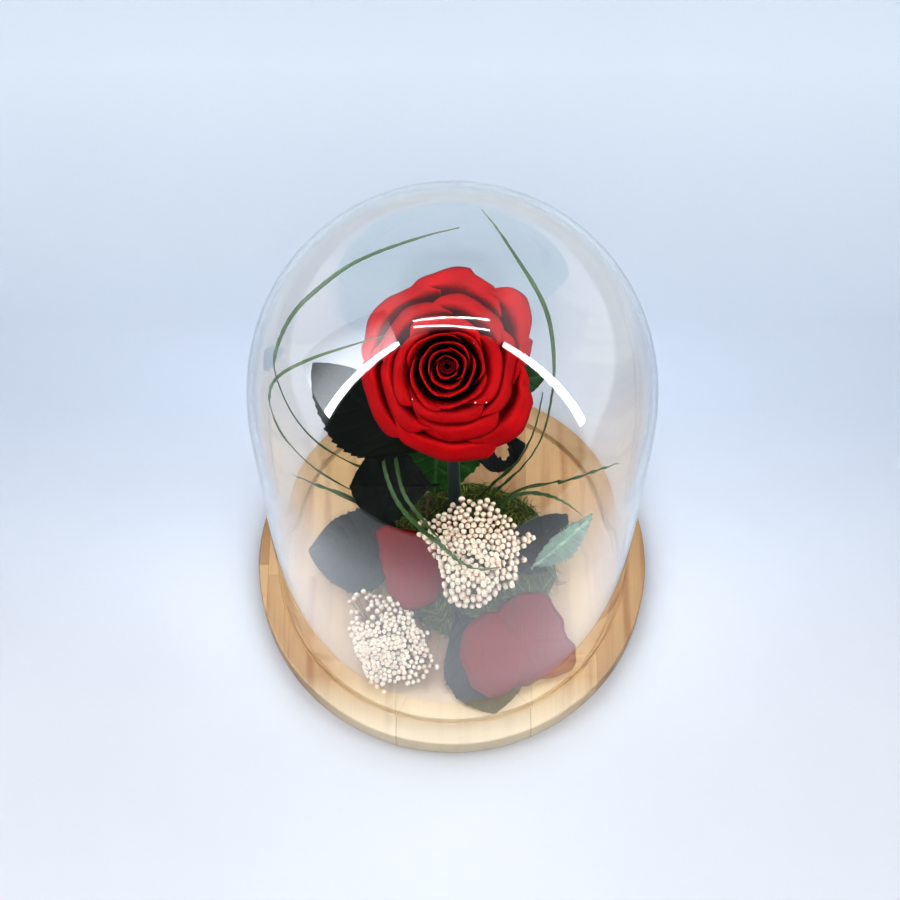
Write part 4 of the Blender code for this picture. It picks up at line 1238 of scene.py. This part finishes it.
# Each head: centre, height, the way it faces, its stalk's foot, the radius of its buds, how
# many there are, how many clusters they form, its outline as angles in degrees and distances
# from the centre, and the buds that stray beyond it, as angles and distances too
RICE_FLOWERS = {
    "rice_flower_centre": (
        (7.5, -9.5, 37.5), 10.0, (0.0, -0.35, 0.94), on_moss(7.0, -3.0), 1.28, 222, 15,
        (
            (15.0, 18.6), (34.0, 19.0), (51.0, 18.0), (64.0, 19.7), (100.0, 22.0), (121.0, 16.7),
            (132.0, 17.8), (157.0, 24.9), (176.0, 16.5), (199.0, 12.2), (219.0, 13.4), (241.0, 18.3),
            (277.0, 18.3), (309.0, 15.6), (325.0, 19.0), (355.0, 17.7),
        ),
        ((11.0, 20.6), (13.0, 22.6), (8.0, 22.2), (4.0, 20.2), (10.0, 24.2), (-10.0, 20.6)),
    ),
    "rice_flower_left": (
        (-24.5, -38.0, 18.0), 6.0, (0.0, -0.1, 1.0), (-16.0, -28.0, 12.6), 1.02, 240, 17,
        (
            (5.0, 13.4), (17.0, 14.7), (35.0, 12.9), (53.0, 14.0), (78.0, 19.1), (100.0, 20.1),
            (124.0, 23.9), (142.0, 18.2), (167.0, 11.9), (191.0, 10.9), (218.0, 9.7), (250.0, 14.4),
            (264.0, 15.5), (280.0, 12.9), (305.0, 16.9), (334.0, 19.0), (358.0, 15.6),
        ),
        ((20.0, 16.2), (-22.0, 20.4), (54.0, 15.8), (113.0, 22.8), (269.0, 17.0)),
    ),
}
GOLDEN_ANGLE = math.pi * (3.0 - math.sqrt(5.0))
# Least distance of the buds, in their radii, and of the clusters' middles
BUD_SPACING = 1.95
CLUSTER_SPACING = 8.0
# Points round a bud, rings on it, and how far its foot and its tip reach
BUD_STEPS = 10
BUD_ROWS = 5
BUD_FOOT = -1.08
BUD_TIP = 1.02
# Forks of a head's stalks, and the radii of the stalks above and below them
FORKS = 14
STALK_RADIUS = 0.24
BRANCH_RADIUS = 0.42
# Tint and height on a bud that give the stalks their colour, the dark foot, partly painted shade
STALK_TONE = (0.2, 0.06)


def facing_axes(facing):
    """Three directions at right angles, the last of them the given one."""
    up = unit(vector(*facing))
    across = unit(np.cross(vector(0.0, 1.0, 0.0), up))
    return np.stack((across, np.cross(up, across), up))


def dried_bud(settings):
    """Dried rice flower bud: papery cream scales, brown and pinkish towards its base, each bud
    a little different, and dull. The darker foot is partly painted shade in the gaps between
    the buds, and the palest top partly a painted highlight."""
    material = plain_material("dried_bud", 0.75, sheen_weight=0.1)
    own, height = uv_parts(material)
    # Partly painted: the dark foot is shade between the buds and the palest top a highlight
    stops = ((0.0, settings.bud_foot_and_shade), (0.42, settings.bud_base), (0.74, settings.bud))
    scale = ramp(material, height, *stops, (0.94, settings.bud_top_and_highlight), (1.0, settings.bud_tip))
    blush = ranged(material, own, 0.6, 1.0, 0.0, 0.35)
    link(material, mixed(material, blush, scale, settings.blush), "Base Color")
    return material


def bud_shape():
    """One bud as a unit bead: rings along its axis, its section pinched into five scales that
    alternate from ring to ring. Returns points, faces and the height of each point."""
    row = np.arange(BUD_ROWS)[:, None]
    height = np.pi * (row + 1) / (BUD_ROWS + 1)
    turned = around(BUD_STEPS) + np.pi / BUD_STEPS * (row % 2)
    flat = polar(np.sin(height) * (1.0 + 0.05 * np.cos(5.0 * turned)), turned)
    level = np.broadcast_to(BUD_FOOT * np.cos(height), turned.shape)
    rings = np.concatenate((flat, level[..., None]), axis=-1)
    points = np.concatenate(([(0.0, 0.0, BUD_FOOT)], rings.reshape(-1, 3), [(0.0, 0.0, BUD_TIP)]))
    return points, closed_ring_faces(BUD_ROWS, BUD_STEPS), 0.5 + 0.5 * points[:, 2]


def spread_buds(outline, count, spacing, draw):
    """Places for buds inside an outline: a golden-angle spiral stretched to it, then some
    rounds in which places nearer to each other than the spacing push one another away."""
    angle = GOLDEN_ANGLE * np.arange(count) + draw.normal(0.0, 0.25, count)
    place = polar(np.sqrt((np.arange(count) + 0.5) / count) * outline_reach(outline, angle), angle)
    for _ in range(40):
        apart = place[:, None] - place[None]
        distance = np.linalg.norm(apart, axis=-1) + 1e-6
        push = np.clip(spacing - distance, 0.0, None) / distance
        np.fill_diagonal(push, 0.0)
        place = place + 0.3 * np.einsum("ij,ijk->ik", push, apart)
        far = np.linalg.norm(place, axis=-1)
        limit = outline_reach(outline, np.arctan2(place[:, 1], place[:, 0]))
        place = place * np.minimum(1.0, limit / np.maximum(far, 1e-6))[:, None]
    return place


def clustered_buds(bud_radius, count, clusters, outline, strays, draw):
    """Places of a head's buds seen along its axis, the middle of each one's cluster, and how
    far it is from that, the usual distance being 1."""
    place = spread_buds(outline, count, BUD_SPACING * bud_radius, draw)
    hubs = spread_buds(outline, clusters, CLUSTER_SPACING, draw) * 0.92
    gap = np.linalg.norm(place[:, None] - hubs[None], axis=-1)
    hub = hubs[np.argmin(gap, axis=1)]
    near = np.min(gap, axis=1)
    near = near / np.median(near)
    place = place + 0.05 * (hub - place) + draw.normal(0.0, 0.12 * bud_radius, place.shape)
    turn, reach = np.array(strays).T
    stray = polar(reach, np.radians(turn))
    near = np.concatenate((near, np.ones(len(strays))))
    return np.concatenate((place, stray)), np.concatenate((hub, 0.7 * stray)), near


def bud_stalks(middles, outward, size, axes, centre, rise, foot, spread, draw):
    """Thin stalks that sag from under each bud to a fork, mostly the nearest of some that
    stand round the head's middle, and a branch from each fork to the foot, all as strands."""
    turn = around(FORKS)
    number = np.arange(FORKS)
    ray = np.column_stack((polar(np.where(number % 3 == 0, 0.18, 0.48), turn), np.full(FORKS, -0.15)))
    forks = vector(*centre) + (ray * (spread, spread, rise)) @ axes
    nearest = np.argmin(np.linalg.norm(middles[:, None] - forks[None], axis=-1), axis=1)
    other = (np.arange(len(middles)) * 5) % FORKS
    chosen = np.where(draw.uniform(0.0, 1.0, len(middles)) < 0.85, nearest, other)
    along = np.linspace(0.0, 1.0, 5)[None, :, None]
    sag = np.sin(np.pi * along)
    under = middles - outward * size[:, None] * 0.9
    stalks = under[:, None] * (1.0 - along) + forks[chosen][:, None] * along
    stalks = stalks - 0.18 * sag * outward[:, None] * rise
    branches = forks[:, None] * (1.0 - along) + vector(*foot) * along
    branches = branches + 0.10 * sag * (forks - forks.mean(0))[:, None]
    thin = strand_batch(stalks, np.full(stalks.shape[:2], STALK_RADIUS), 4)
    thick = strand_batch(branches, np.full(branches.shape[:2], BRANCH_RADIUS), 6)
    return thin[:2], thick[:2]


def make_rice_flower(name, form, material):
    """Buds over a low dome of the head's outline, drawn together in clusters that bulge, each
    on a thin stalk that joins its neighbours' below and runs on to the foot. The dome's height
    falls to its edge as the root of 1 less the square of the share of the way there."""
    centre, rise, facing, foot, bud_radius, count, clusters, outline, strays = form
    draw = np.random.default_rng(count)
    axes = facing_axes(facing)
    place, hub, near = clustered_buds(bud_radius, count, clusters, outline, strays, draw)
    count = len(place)
    out = np.linalg.norm(place, axis=-1) / outline_reach(outline, np.arctan2(place[:, 1], place[:, 0]))
    level = (rise - 1.4) * np.sqrt(np.clip(1.0 - 0.96 * out**2, 0.02, 1.0))
    level = level + 1.5 * (1.0 - np.clip(near, 0.0, 1.7) ** 2 / 1.5) - 2.6 * draw.beta(1.1, 3.2, count)
    middles = vector(*centre) + np.column_stack((place, level)) @ axes
    lean = np.column_stack((0.045 * place + 0.16 * (place - hub), np.ones(count)))
    outward = unit(lean @ axes + draw.normal(0.0, 0.12, (count, 3)))
    first = unit(np.cross(outward, vector(0.3, 0.9, 0.1)))
    spin = np.stack((first, np.cross(outward, first), outward), axis=1)
    size = bud_radius * draw.uniform(0.82, 1.12, count)
    bead, bead_faces, height = bud_shape()
    beads = middles[:, None] + size[:, None, None] * np.einsum("pk,nkj->npj", bead, spin)
    start = (np.arange(count) * len(bead))[:, None, None]
    tint = np.repeat(draw.uniform(0.0, 1.0, count), len(bead))
    points = [beads.reshape(-1, 3)]
    faces = [(part[None] + start).reshape(-1, part.shape[1]) for part in bead_faces]
    uv = [np.column_stack((tint, np.tile(height, count)))]
    spread = 0.8 * np.mean(outline, axis=0)[1]
    for more, more_faces in bud_stalks(middles, outward, size, axes, centre, rise, foot, spread, draw):
        shift = sum(len(part) for part in points)
        points.append(more)
        faces += [part + shift for part in more_faces]
        uv.append(np.tile(STALK_TONE, (len(more), 1)))
    piece = put_mesh("beaded_" + name, np.concatenate(points), faces, material, np.concatenate(uv))
    belongs(piece, [name])


def make_rice_flowers(settings):
    """Both heads, of one kind of bud."""
    material = dried_bud(settings)
    for name, form in RICE_FLOWERS.items():
        make_rice_flower(name, form, material)


# Twig and loose petals

TWIG_ROUTE = (on_moss(-9.5, 13.0), (-9.8, 14.5, 24.0), (-9.0, 17.0, 31.0))
LOOSE_THICKNESS = 0.5
# Each loose petal: its middle, the way its upper side faces, how far its middle stands up, how
# far its far edge curls, and its outline as angles in degrees and distances from the middle
LOOSE_PETALS = {
    "fallen_petal_left": (
        (-17.5, -8.3, 22.4), (-0.12, 0.0, 1.0), 2.5, 1.5,
        (
            (0.0, 16.0), (20.0, 14.0), (39.0, 12.8), (74.0, 12.3), (101.0, 13.3), (117.0, 17.0),
            (135.0, 18.5), (149.0, 13.4), (174.0, 10.7), (207.0, 9.6), (235.0, 11.6), (257.0, 13.9),
            (270.0, 16.4), (296.0, 17.2), (324.0, 17.5), (340.0, 16.5),
        ),
    ),
    "fallen_petal_right": (
        (25.4, -36.6, 16.8), (0.08, -0.07, 1.0), 5.0, 0.5,
        (
            (0.0, 20.3), (8.0, 18.0), (20.0, 17.9), (31.0, 19.2), (52.0, 20.5), (62.0, 22.4),
            (71.0, 22.0), (83.0, 20.2), (123.0, 15.2), (161.0, 20.7), (188.0, 22.9), (205.0, 23.2),
            (223.0, 24.6), (242.0, 23.8), (264.0, 16.4), (301.0, 15.0), (334.0, 20.8), (344.0, 21.6),
        ),
    ),
}


def make_twig(settings):
    """A crooked bar with a swelling near its middle, in dry bark: brown, matt and furrowed."""
    share = np.linspace(0.0, 1.0, 40)
    radii = (0.8 - 0.3 * share + 0.18 * np.exp(-(((share - 0.55) / 0.05) ** 2)))[:, None]
    bark = streaked("dry_bark", 0.85, (9.0, 4.0), settings.twig_dark, settings.twig, 0.2)
    piece = tube("bare_twig", smooth_path(TWIG_ROUTE, len(share)), radii, 12, bark)
    belongs(piece, ["dry_twig"])


def make_loose_petals(settings):
    """A square grid drawn to a disc, its radius stretched to the outline, crowned in the
    middle, its edge rolling and waving."""
    across, up = np.meshgrid(*[np.linspace(-1.0, 1.0, 65)] * 2)
    x = across * np.sqrt(1.0 - 0.5 * up**2)
    y = up * np.sqrt(1.0 - 0.5 * across**2)
    out = np.hypot(x, y)
    angle = np.arctan2(y, x)
    for number, (name, (middle, facing, crown, curl, outline)) in enumerate(LOOSE_PETALS.items()):
        reach = outline_reach(outline, angle)
        reach = reach * (1.0 + 0.012 * np.sin(13.0 * angle + number) * out**4)
        height = crown * (1.0 - 0.75 * out**2) + curl * np.clip(y, 0.0, 1.0) ** 2
        height = height + 0.5 * out**3 * np.sin(5.0 * angle + 1.0)
        height = height + 0.35 * np.sin(3.0 * angle) * out * (1.0 - out)
        height = height - 0.8 * smooth_step(out, 0.9, 1.0)
        flat = np.concatenate((polar(reach * out, angle), height[..., None]), axis=-1)
        grid = vector(*middle) + flat @ facing_axes(facing)
        uv = np.stack((0.5 + 0.5 * across, 0.72 + 0.28 * out**2), axis=-1)
        velvet = petal_velvet(f"loose_velvet_{number}", settings, LOOSE_VELVET)
        piece = sheet("loose_" + name, grid, LOOSE_THICKNESS, velvet, uv)
        belongs(piece, [name])


# Stage, in metres

CAMERA_PLACE = (0.0003, -0.2899, 0.7248)
CAMERA_PITCH = 25.21
CAMERA_TURN = 0.21
CAMERA_LENS = 79.28
HEAD_PLACE = Vector(HEAD_CENTRE) * MM
# Lamp strips: one end, the other end, and width
LAMP_STRIPS = (
    ((-0.389, 0.175, 1.25), (0.366, 0.185, 1.25), 0.022),
    ((-0.386, 0.108, 1.25), (0.372, 0.070, 1.25), 0.022),
    ((-0.570, -0.042, 1.25), (-0.787, -0.285, 0.315), 0.060),
    ((0.534, -0.054, 1.25), (0.796, -0.288, 0.237), 0.060),
)
LEFT_STRIP = 2
# How far before its lamp each glowing sheet is
SHEET_GAP = 0.004
# How far the cloth beside the left lamp glows, and which way
GLOW_REACH = (-0.15, 0.42, -0.07)
# Soft lamps: place, what they face, size, and their brightness in the settings
SOFT_LAMPS = {
    "front_lamp": ((0.0, -0.42, 0.22), (0.0, -0.08, 0.0), (0.5, 0.25), "front"),
    "camera_lamp": ((0.0, -0.40, 0.80), HEAD_PLACE, (0.4, 0.3), "beside_camera"),
}
# Upward sides of the planes that bound the tent's opening
TENT_EDGES = ((0.275, -0.758, 0.13), (-0.275, -0.758, 0.13), (0.0, -1.0, 0.10))
# Towards the middle of the ceiling's dimmer patch, and how bright that is
DIM_WAY = (0.0, 0.52, 0.854)
DIM_LEVEL = 0.45
FLOOR_FRONT = -0.36
FLOOR_HALF = 1.5
# Just clear of the board's underside
FLOOR_LEVEL = -0.00005
# Where the floor's first and last tone lie, and the size of its mottling in millimetres
FLOOR_NEAR = -0.10
FLOOR_FAR = 0.24
FLOOR_MOTTLE = 90.0


def pale_surroundings(settings):
    """A light tent, pale blue-white, that is open to a dark room at the front. The opening is
    where a direction lies before three planes: one through each side lamp and the top lamps."""
    world = bpy.data.worlds.new("pale_surroundings")
    bpy.context.scene.world = world
    world.use_nodes = True
    smooth = {"interpolation_type": "SMOOTHSTEP"}
    way = node(world, "TexCoord").outputs["Generated"]
    sides = [vector_maths(world, "DOT_PRODUCT", way, plane) for plane in TENT_EDGES]
    nearest = maths(world, "MINIMUM", sides[0], sides[1])
    nearest = maths(world, "MINIMUM", nearest, sides[2])
    inside = ranged(world, nearest, -0.02, 0.05, **smooth)
    # The back wall is farther off and dimmer than the sides and the ceiling
    back = node(world, "SeparateXYZ", {0: way}).outputs[1]
    back = ranged(world, back, 0.45, 0.85, **smooth)
    tent = mixed(world, back, settings.tent, settings.tent_back)
    # A dimmer patch of the ceiling, over and behind the dome
    patch = vector_maths(world, "DOT_PRODUCT", way, DIM_WAY)
    patch = ranged(world, patch, 0.87, 0.95, 1.0, DIM_LEVEL, **smooth)
    tent = node(world, "VectorMath", {0: tent, "Scale": patch}, operation="SCALE").outputs[0]
    background = world.node_tree.nodes["Background"]
    world.node_tree.links.new(mixed(world, inside, tent, settings.room), background.inputs["Color"])
    background.inputs["Strength"].default_value = settings.fill


def flat_sheet(name, corners, material):
    """A flat stage piece through four corners in metres. V runs from its first edge to the
    edge across."""
    uv = np.array(((0.0, 0.0), (1.0, 0.0), (1.0, 1.0), (0.0, 1.0)))
    made = put_mesh(name, np.array(corners) / MM, [np.array([[0, 1, 2, 3]])], material, uv)
    return made


def shine_sheet(name, start, end, reach, material):
    """A glowing sheet from the line between start and end as far as reach, which only shows
    in the glass."""
    made = flat_sheet(name, (start, end, end + reach, start + reach), material)
    for kind in ("camera", "diffuse", "transmission", "volume_scatter", "shadow"):
        setattr(made, "visible_" + kind, False)


def glowing(name, colour, strength):
    """A surface that gives off light and mirrors none."""
    looks = {"base_color": (0.0, 0.0, 0.0, 1.0), "emission_color": colour, "emission_strength": strength}
    return plain_material(name, 1.0, **looks)


def glowing_cloth(settings):
    """Tent cloth lit from behind by the lamp at its edge: it fades away from it."""
    material = glowing("glowing_cloth", settings.lit_cloth, 0.0)
    far = uv_parts(material)[1]
    level = ranged(material, far, 0.0, 1.0, settings.cloth, 0.0, interpolation_type="SMOOTHSTEP")
    link(material, level, "Emission Strength")
    return material


def area_lamp(name, matrix, size, radiance):
    """A rectangular lamp that gives off this radiance all over."""
    data = bpy.data.lights.new(name, "AREA")
    data.shape = "RECTANGLE"
    data.size, data.size_y = size
    data.energy = radiance * math.pi * size[0] * size[1]
    lamp = bpy.data.objects.new(name, data)
    lamp.matrix_world = matrix
    bpy.context.scene.collection.objects.link(lamp)
    return lamp


def make_lamps(settings):
    """Tube lamps of the tent: flat strips from one end to the other that face the rose. Before
    each is a glowing sheet of its size that shows only in the glass."""
    tube_glow = glowing("tube_glow", settings.lamp, settings.shine)
    for number, (start, end, width) in enumerate(LAMP_STRIPS):
        start, end = Vector(start), Vector(end)
        middle = 0.5 * (start + end)
        along = (end - start).normalized()
        away = middle - HEAD_PLACE
        away = (away - away.dot(along) * along).normalized()
        aside = away.cross(along)
        matrix = Matrix.Translation(middle) @ Matrix((along, aside, away)).transposed().to_4x4()
        lamp = area_lamp(f"lamp_strip_{number}", matrix, ((end - start).length, width), settings.strips)
        lamp.data.color = settings.lamp[:3]
        reach = aside * width
        edge = start - SHEET_GAP * away - reach / 2
        shine_sheet(f"tube_glow_{number}", edge, edge + (end - start), reach, tube_glow)
    start, end = (Vector(place) for place in LAMP_STRIPS[LEFT_STRIP][:2])
    shine_sheet("cloth_glow", start, end, Vector(GLOW_REACH), glowing_cloth(settings))


def make_soft_lamps(settings):
    """Broad soft lamps that the glass doesn't show: one low in front of the board, one by the
    camera that reaches into the folds of the rose."""
    for name, (place, aim, size, level) in SOFT_LAMPS.items():
        turn = (Vector(aim) - Vector(place)).to_track_quat("-Z", "Y").to_matrix().to_4x4()
        lamp = area_lamp(name, Matrix.Translation(place) @ turn, size, getattr(settings, level))
        lamp.visible_glossy = False
        lamp.visible_transmission = False


def make_floor(settings):
    """A wide pale floor, eggshell, bluer towards the back, with a darker band beside the board
    that is a painted shadow of the dome, and a barely mottled tone.
    """
    material = plain_material("pale_floor", 0.6)
    coords = node(material, "TexCoord").outputs["Object"]
    shade = ranged(material, noise(material, coords, per_mm(FLOOR_MOTTLE), 2.0), 0.3, 0.7, 0.985, 1.0)
    depth = node(material, "SeparateXYZ", {0: coords}).outputs[1]
    depth = ranged(material, depth, FLOOR_NEAR, FLOOR_FAR)
    front, middle, back = settings.floor_front, settings.floor_painted_shadow, settings.floor_back
    # The middle stops are the painted shadow beside the board
    tone = ramp(material, depth, (0.0, front), (0.12, front), (0.50, middle), (0.62, middle), (1.0, back))
    link(material, shaded(material, shade, tone), "Base Color")
    near, far, half, level = FLOOR_FRONT, FLOOR_HALF, FLOOR_HALF, FLOOR_LEVEL
    corners = ((-half, near, level), (half, near, level), (half, far, level), (-half, far, level))
    flat_sheet("pale_floor", corners, material)


def make_camera():
    """The camera at the place, turn and lens that give the photo's view."""
    data = bpy.data.cameras.new("photo_view")
    data.lens = CAMERA_LENS
    data.clip_end = 20.0
    camera = bpy.data.objects.new("photo_view", data)
    camera.location = CAMERA_PLACE
    camera.rotation_euler = (math.radians(CAMERA_PITCH), 0.0, math.radians(CAMERA_TURN))
    bpy.context.scene.collection.objects.link(camera)
    bpy.context.scene.camera = camera


def make_stage(settings):
    """The view's contrast, the surroundings, the lamps, the floor and the camera."""
    view = bpy.context.scene.view_settings
    view.view_transform = "Standard"
    view.gamma = settings.gamma
    pale_surroundings(settings)
    make_lamps(settings)
    make_soft_lamps(settings)
    make_floor(settings)
    make_camera()


# Operators, one for each piece or group of like pieces


class DOMEROSE_OT_board(bpy.types.Operator):
    """Turn the pine board with its groove"""

    bl_idname = "domerose.board"
    bl_label = "Board"

    def execute(self, context):
        make_board(context.scene.domerose_board)
        return {"FINISHED"}


class DOMEROSE_OT_dome(bpy.types.Operator):
    """Blow the glass dome"""

    bl_idname = "domerose.dome"
    bl_label = "Glass dome"

    def execute(self, context):
        make_dome(context.scene.domerose_dome)
        return {"FINISHED"}


class DOMEROSE_OT_rose_head(bpy.types.Operator):
    """Shape the petals of the rose"""

    bl_idname = "domerose.rose_head"
    bl_label = "Rose head"

    def execute(self, context):
        make_rose_head(context.scene.domerose_petals)
        return {"FINISHED"}


class DOMEROSE_OT_stem(bpy.types.Operator):
    """Make the stem and the calyx on top of it"""

    bl_idname = "domerose.stem"
    bl_label = "Stem and calyx"

    def execute(self, context):
        make_stem(context.scene.domerose_leaves)
        make_calyx(context.scene.domerose_leaves)
        return {"FINISHED"}


class DOMEROSE_OT_leaves(bpy.types.Operator):
    """Make the rose leaves on the stem and on the board"""

    bl_idname = "domerose.leaves"
    bl_label = "Leaves"

    def execute(self, context):
        make_leaves(context.scene.domerose_leaves)
        return {"FINISHED"}


class DOMEROSE_OT_moss(bpy.types.Operator):
    """Lay the cushion of moss"""

    bl_idname = "domerose.moss"
    bl_label = "Moss"

    def execute(self, context):
        make_moss(context.scene.domerose_ground)
        return {"FINISHED"}


class DOMEROSE_OT_grass(bpy.types.Operator):
    """Bend the grass blades around the rose"""

    bl_idname = "domerose.grass"
    bl_label = "Grass"

    def execute(self, context):
        make_grass(context.scene.domerose_ground)
        return {"FINISHED"}


class DOMEROSE_OT_rice_flowers(bpy.types.Operator):
    """Make the two heads of dried buds"""

    bl_idname = "domerose.rice_flowers"
    bl_label = "Rice flowers"

    def execute(self, context):
        make_rice_flowers(context.scene.domerose_ground)
        return {"FINISHED"}


class DOMEROSE_OT_loose_pieces(bpy.types.Operator):
    """Lay down the loose petals and the twig"""

    bl_idname = "domerose.loose_pieces"
    bl_label = "Loose petals and twig"

    def execute(self, context):
        make_loose_petals(context.scene.domerose_petals)
        make_twig(context.scene.domerose_ground)
        return {"FINISHED"}


class DOMEROSE_OT_stage(bpy.types.Operator):
    """Set up the floor, the light and the camera"""

    bl_idname = "domerose.stage"
    bl_label = "Stage"

    def execute(self, context):
        make_stage(context.scene.domerose_stage)
        return {"FINISHED"}


OPERATORS = (
    DOMEROSE_OT_board,
    DOMEROSE_OT_dome,
    DOMEROSE_OT_rose_head,
    DOMEROSE_OT_stem,
    DOMEROSE_OT_leaves,
    DOMEROSE_OT_moss,
    DOMEROSE_OT_grass,
    DOMEROSE_OT_rice_flowers,
    DOMEROSE_OT_loose_pieces,
    DOMEROSE_OT_stage,
)
SETTINGS = {
    "domerose_board": RoseBoardSettings,
    "domerose_dome": RoseDomeSettings,
    "domerose_petals": RosePetalSettings,
    "domerose_leaves": RoseLeafSettings,
    "domerose_ground": RoseGroundSettings,
    "domerose_stage": RoseStageSettings,
}


class DOMEROSE_PT_panel(bpy.types.Panel):
    """Pieces of the rose dome and their settings"""

    bl_idname = "DOMEROSE_PT_panel"
    bl_label = "Rose dome"
    bl_space_type = "VIEW_3D"
    bl_region_type = "UI"
    bl_category = "Rose dome"

    def draw(self, context):
        for operator in OPERATORS:
            self.layout.operator(operator.bl_idname)
        for name, group in SETTINGS.items():
            column = self.layout.column()
            for key in group.__annotations__:
                column.prop(getattr(context.scene, name), key)


def register():
    """Adds the settings to the scene, and the operators and the panel."""
    for name, group in SETTINGS.items():
        bpy.utils.register_class(group)
        setattr(bpy.types.Scene, name, bpy.props.PointerProperty(type=group))
    for kind in (*OPERATORS, DOMEROSE_PT_panel):
        bpy.utils.register_class(kind)


def unregister():
    """Takes away what register adds, last things first."""
    for kind in (DOMEROSE_PT_panel, *reversed(OPERATORS)):
        bpy.utils.unregister_class(kind)
    for name, group in SETTINGS.items():
        delattr(bpy.types.Scene, name)
        bpy.utils.unregister_class(group)


def main():
    """Makes every piece and the stage."""
    register()
    for operator in OPERATORS:
        call = getattr(bpy.ops.domerose, operator.bl_idname.split(".")[1])
        call()


if __name__ == "__main__":
    main()
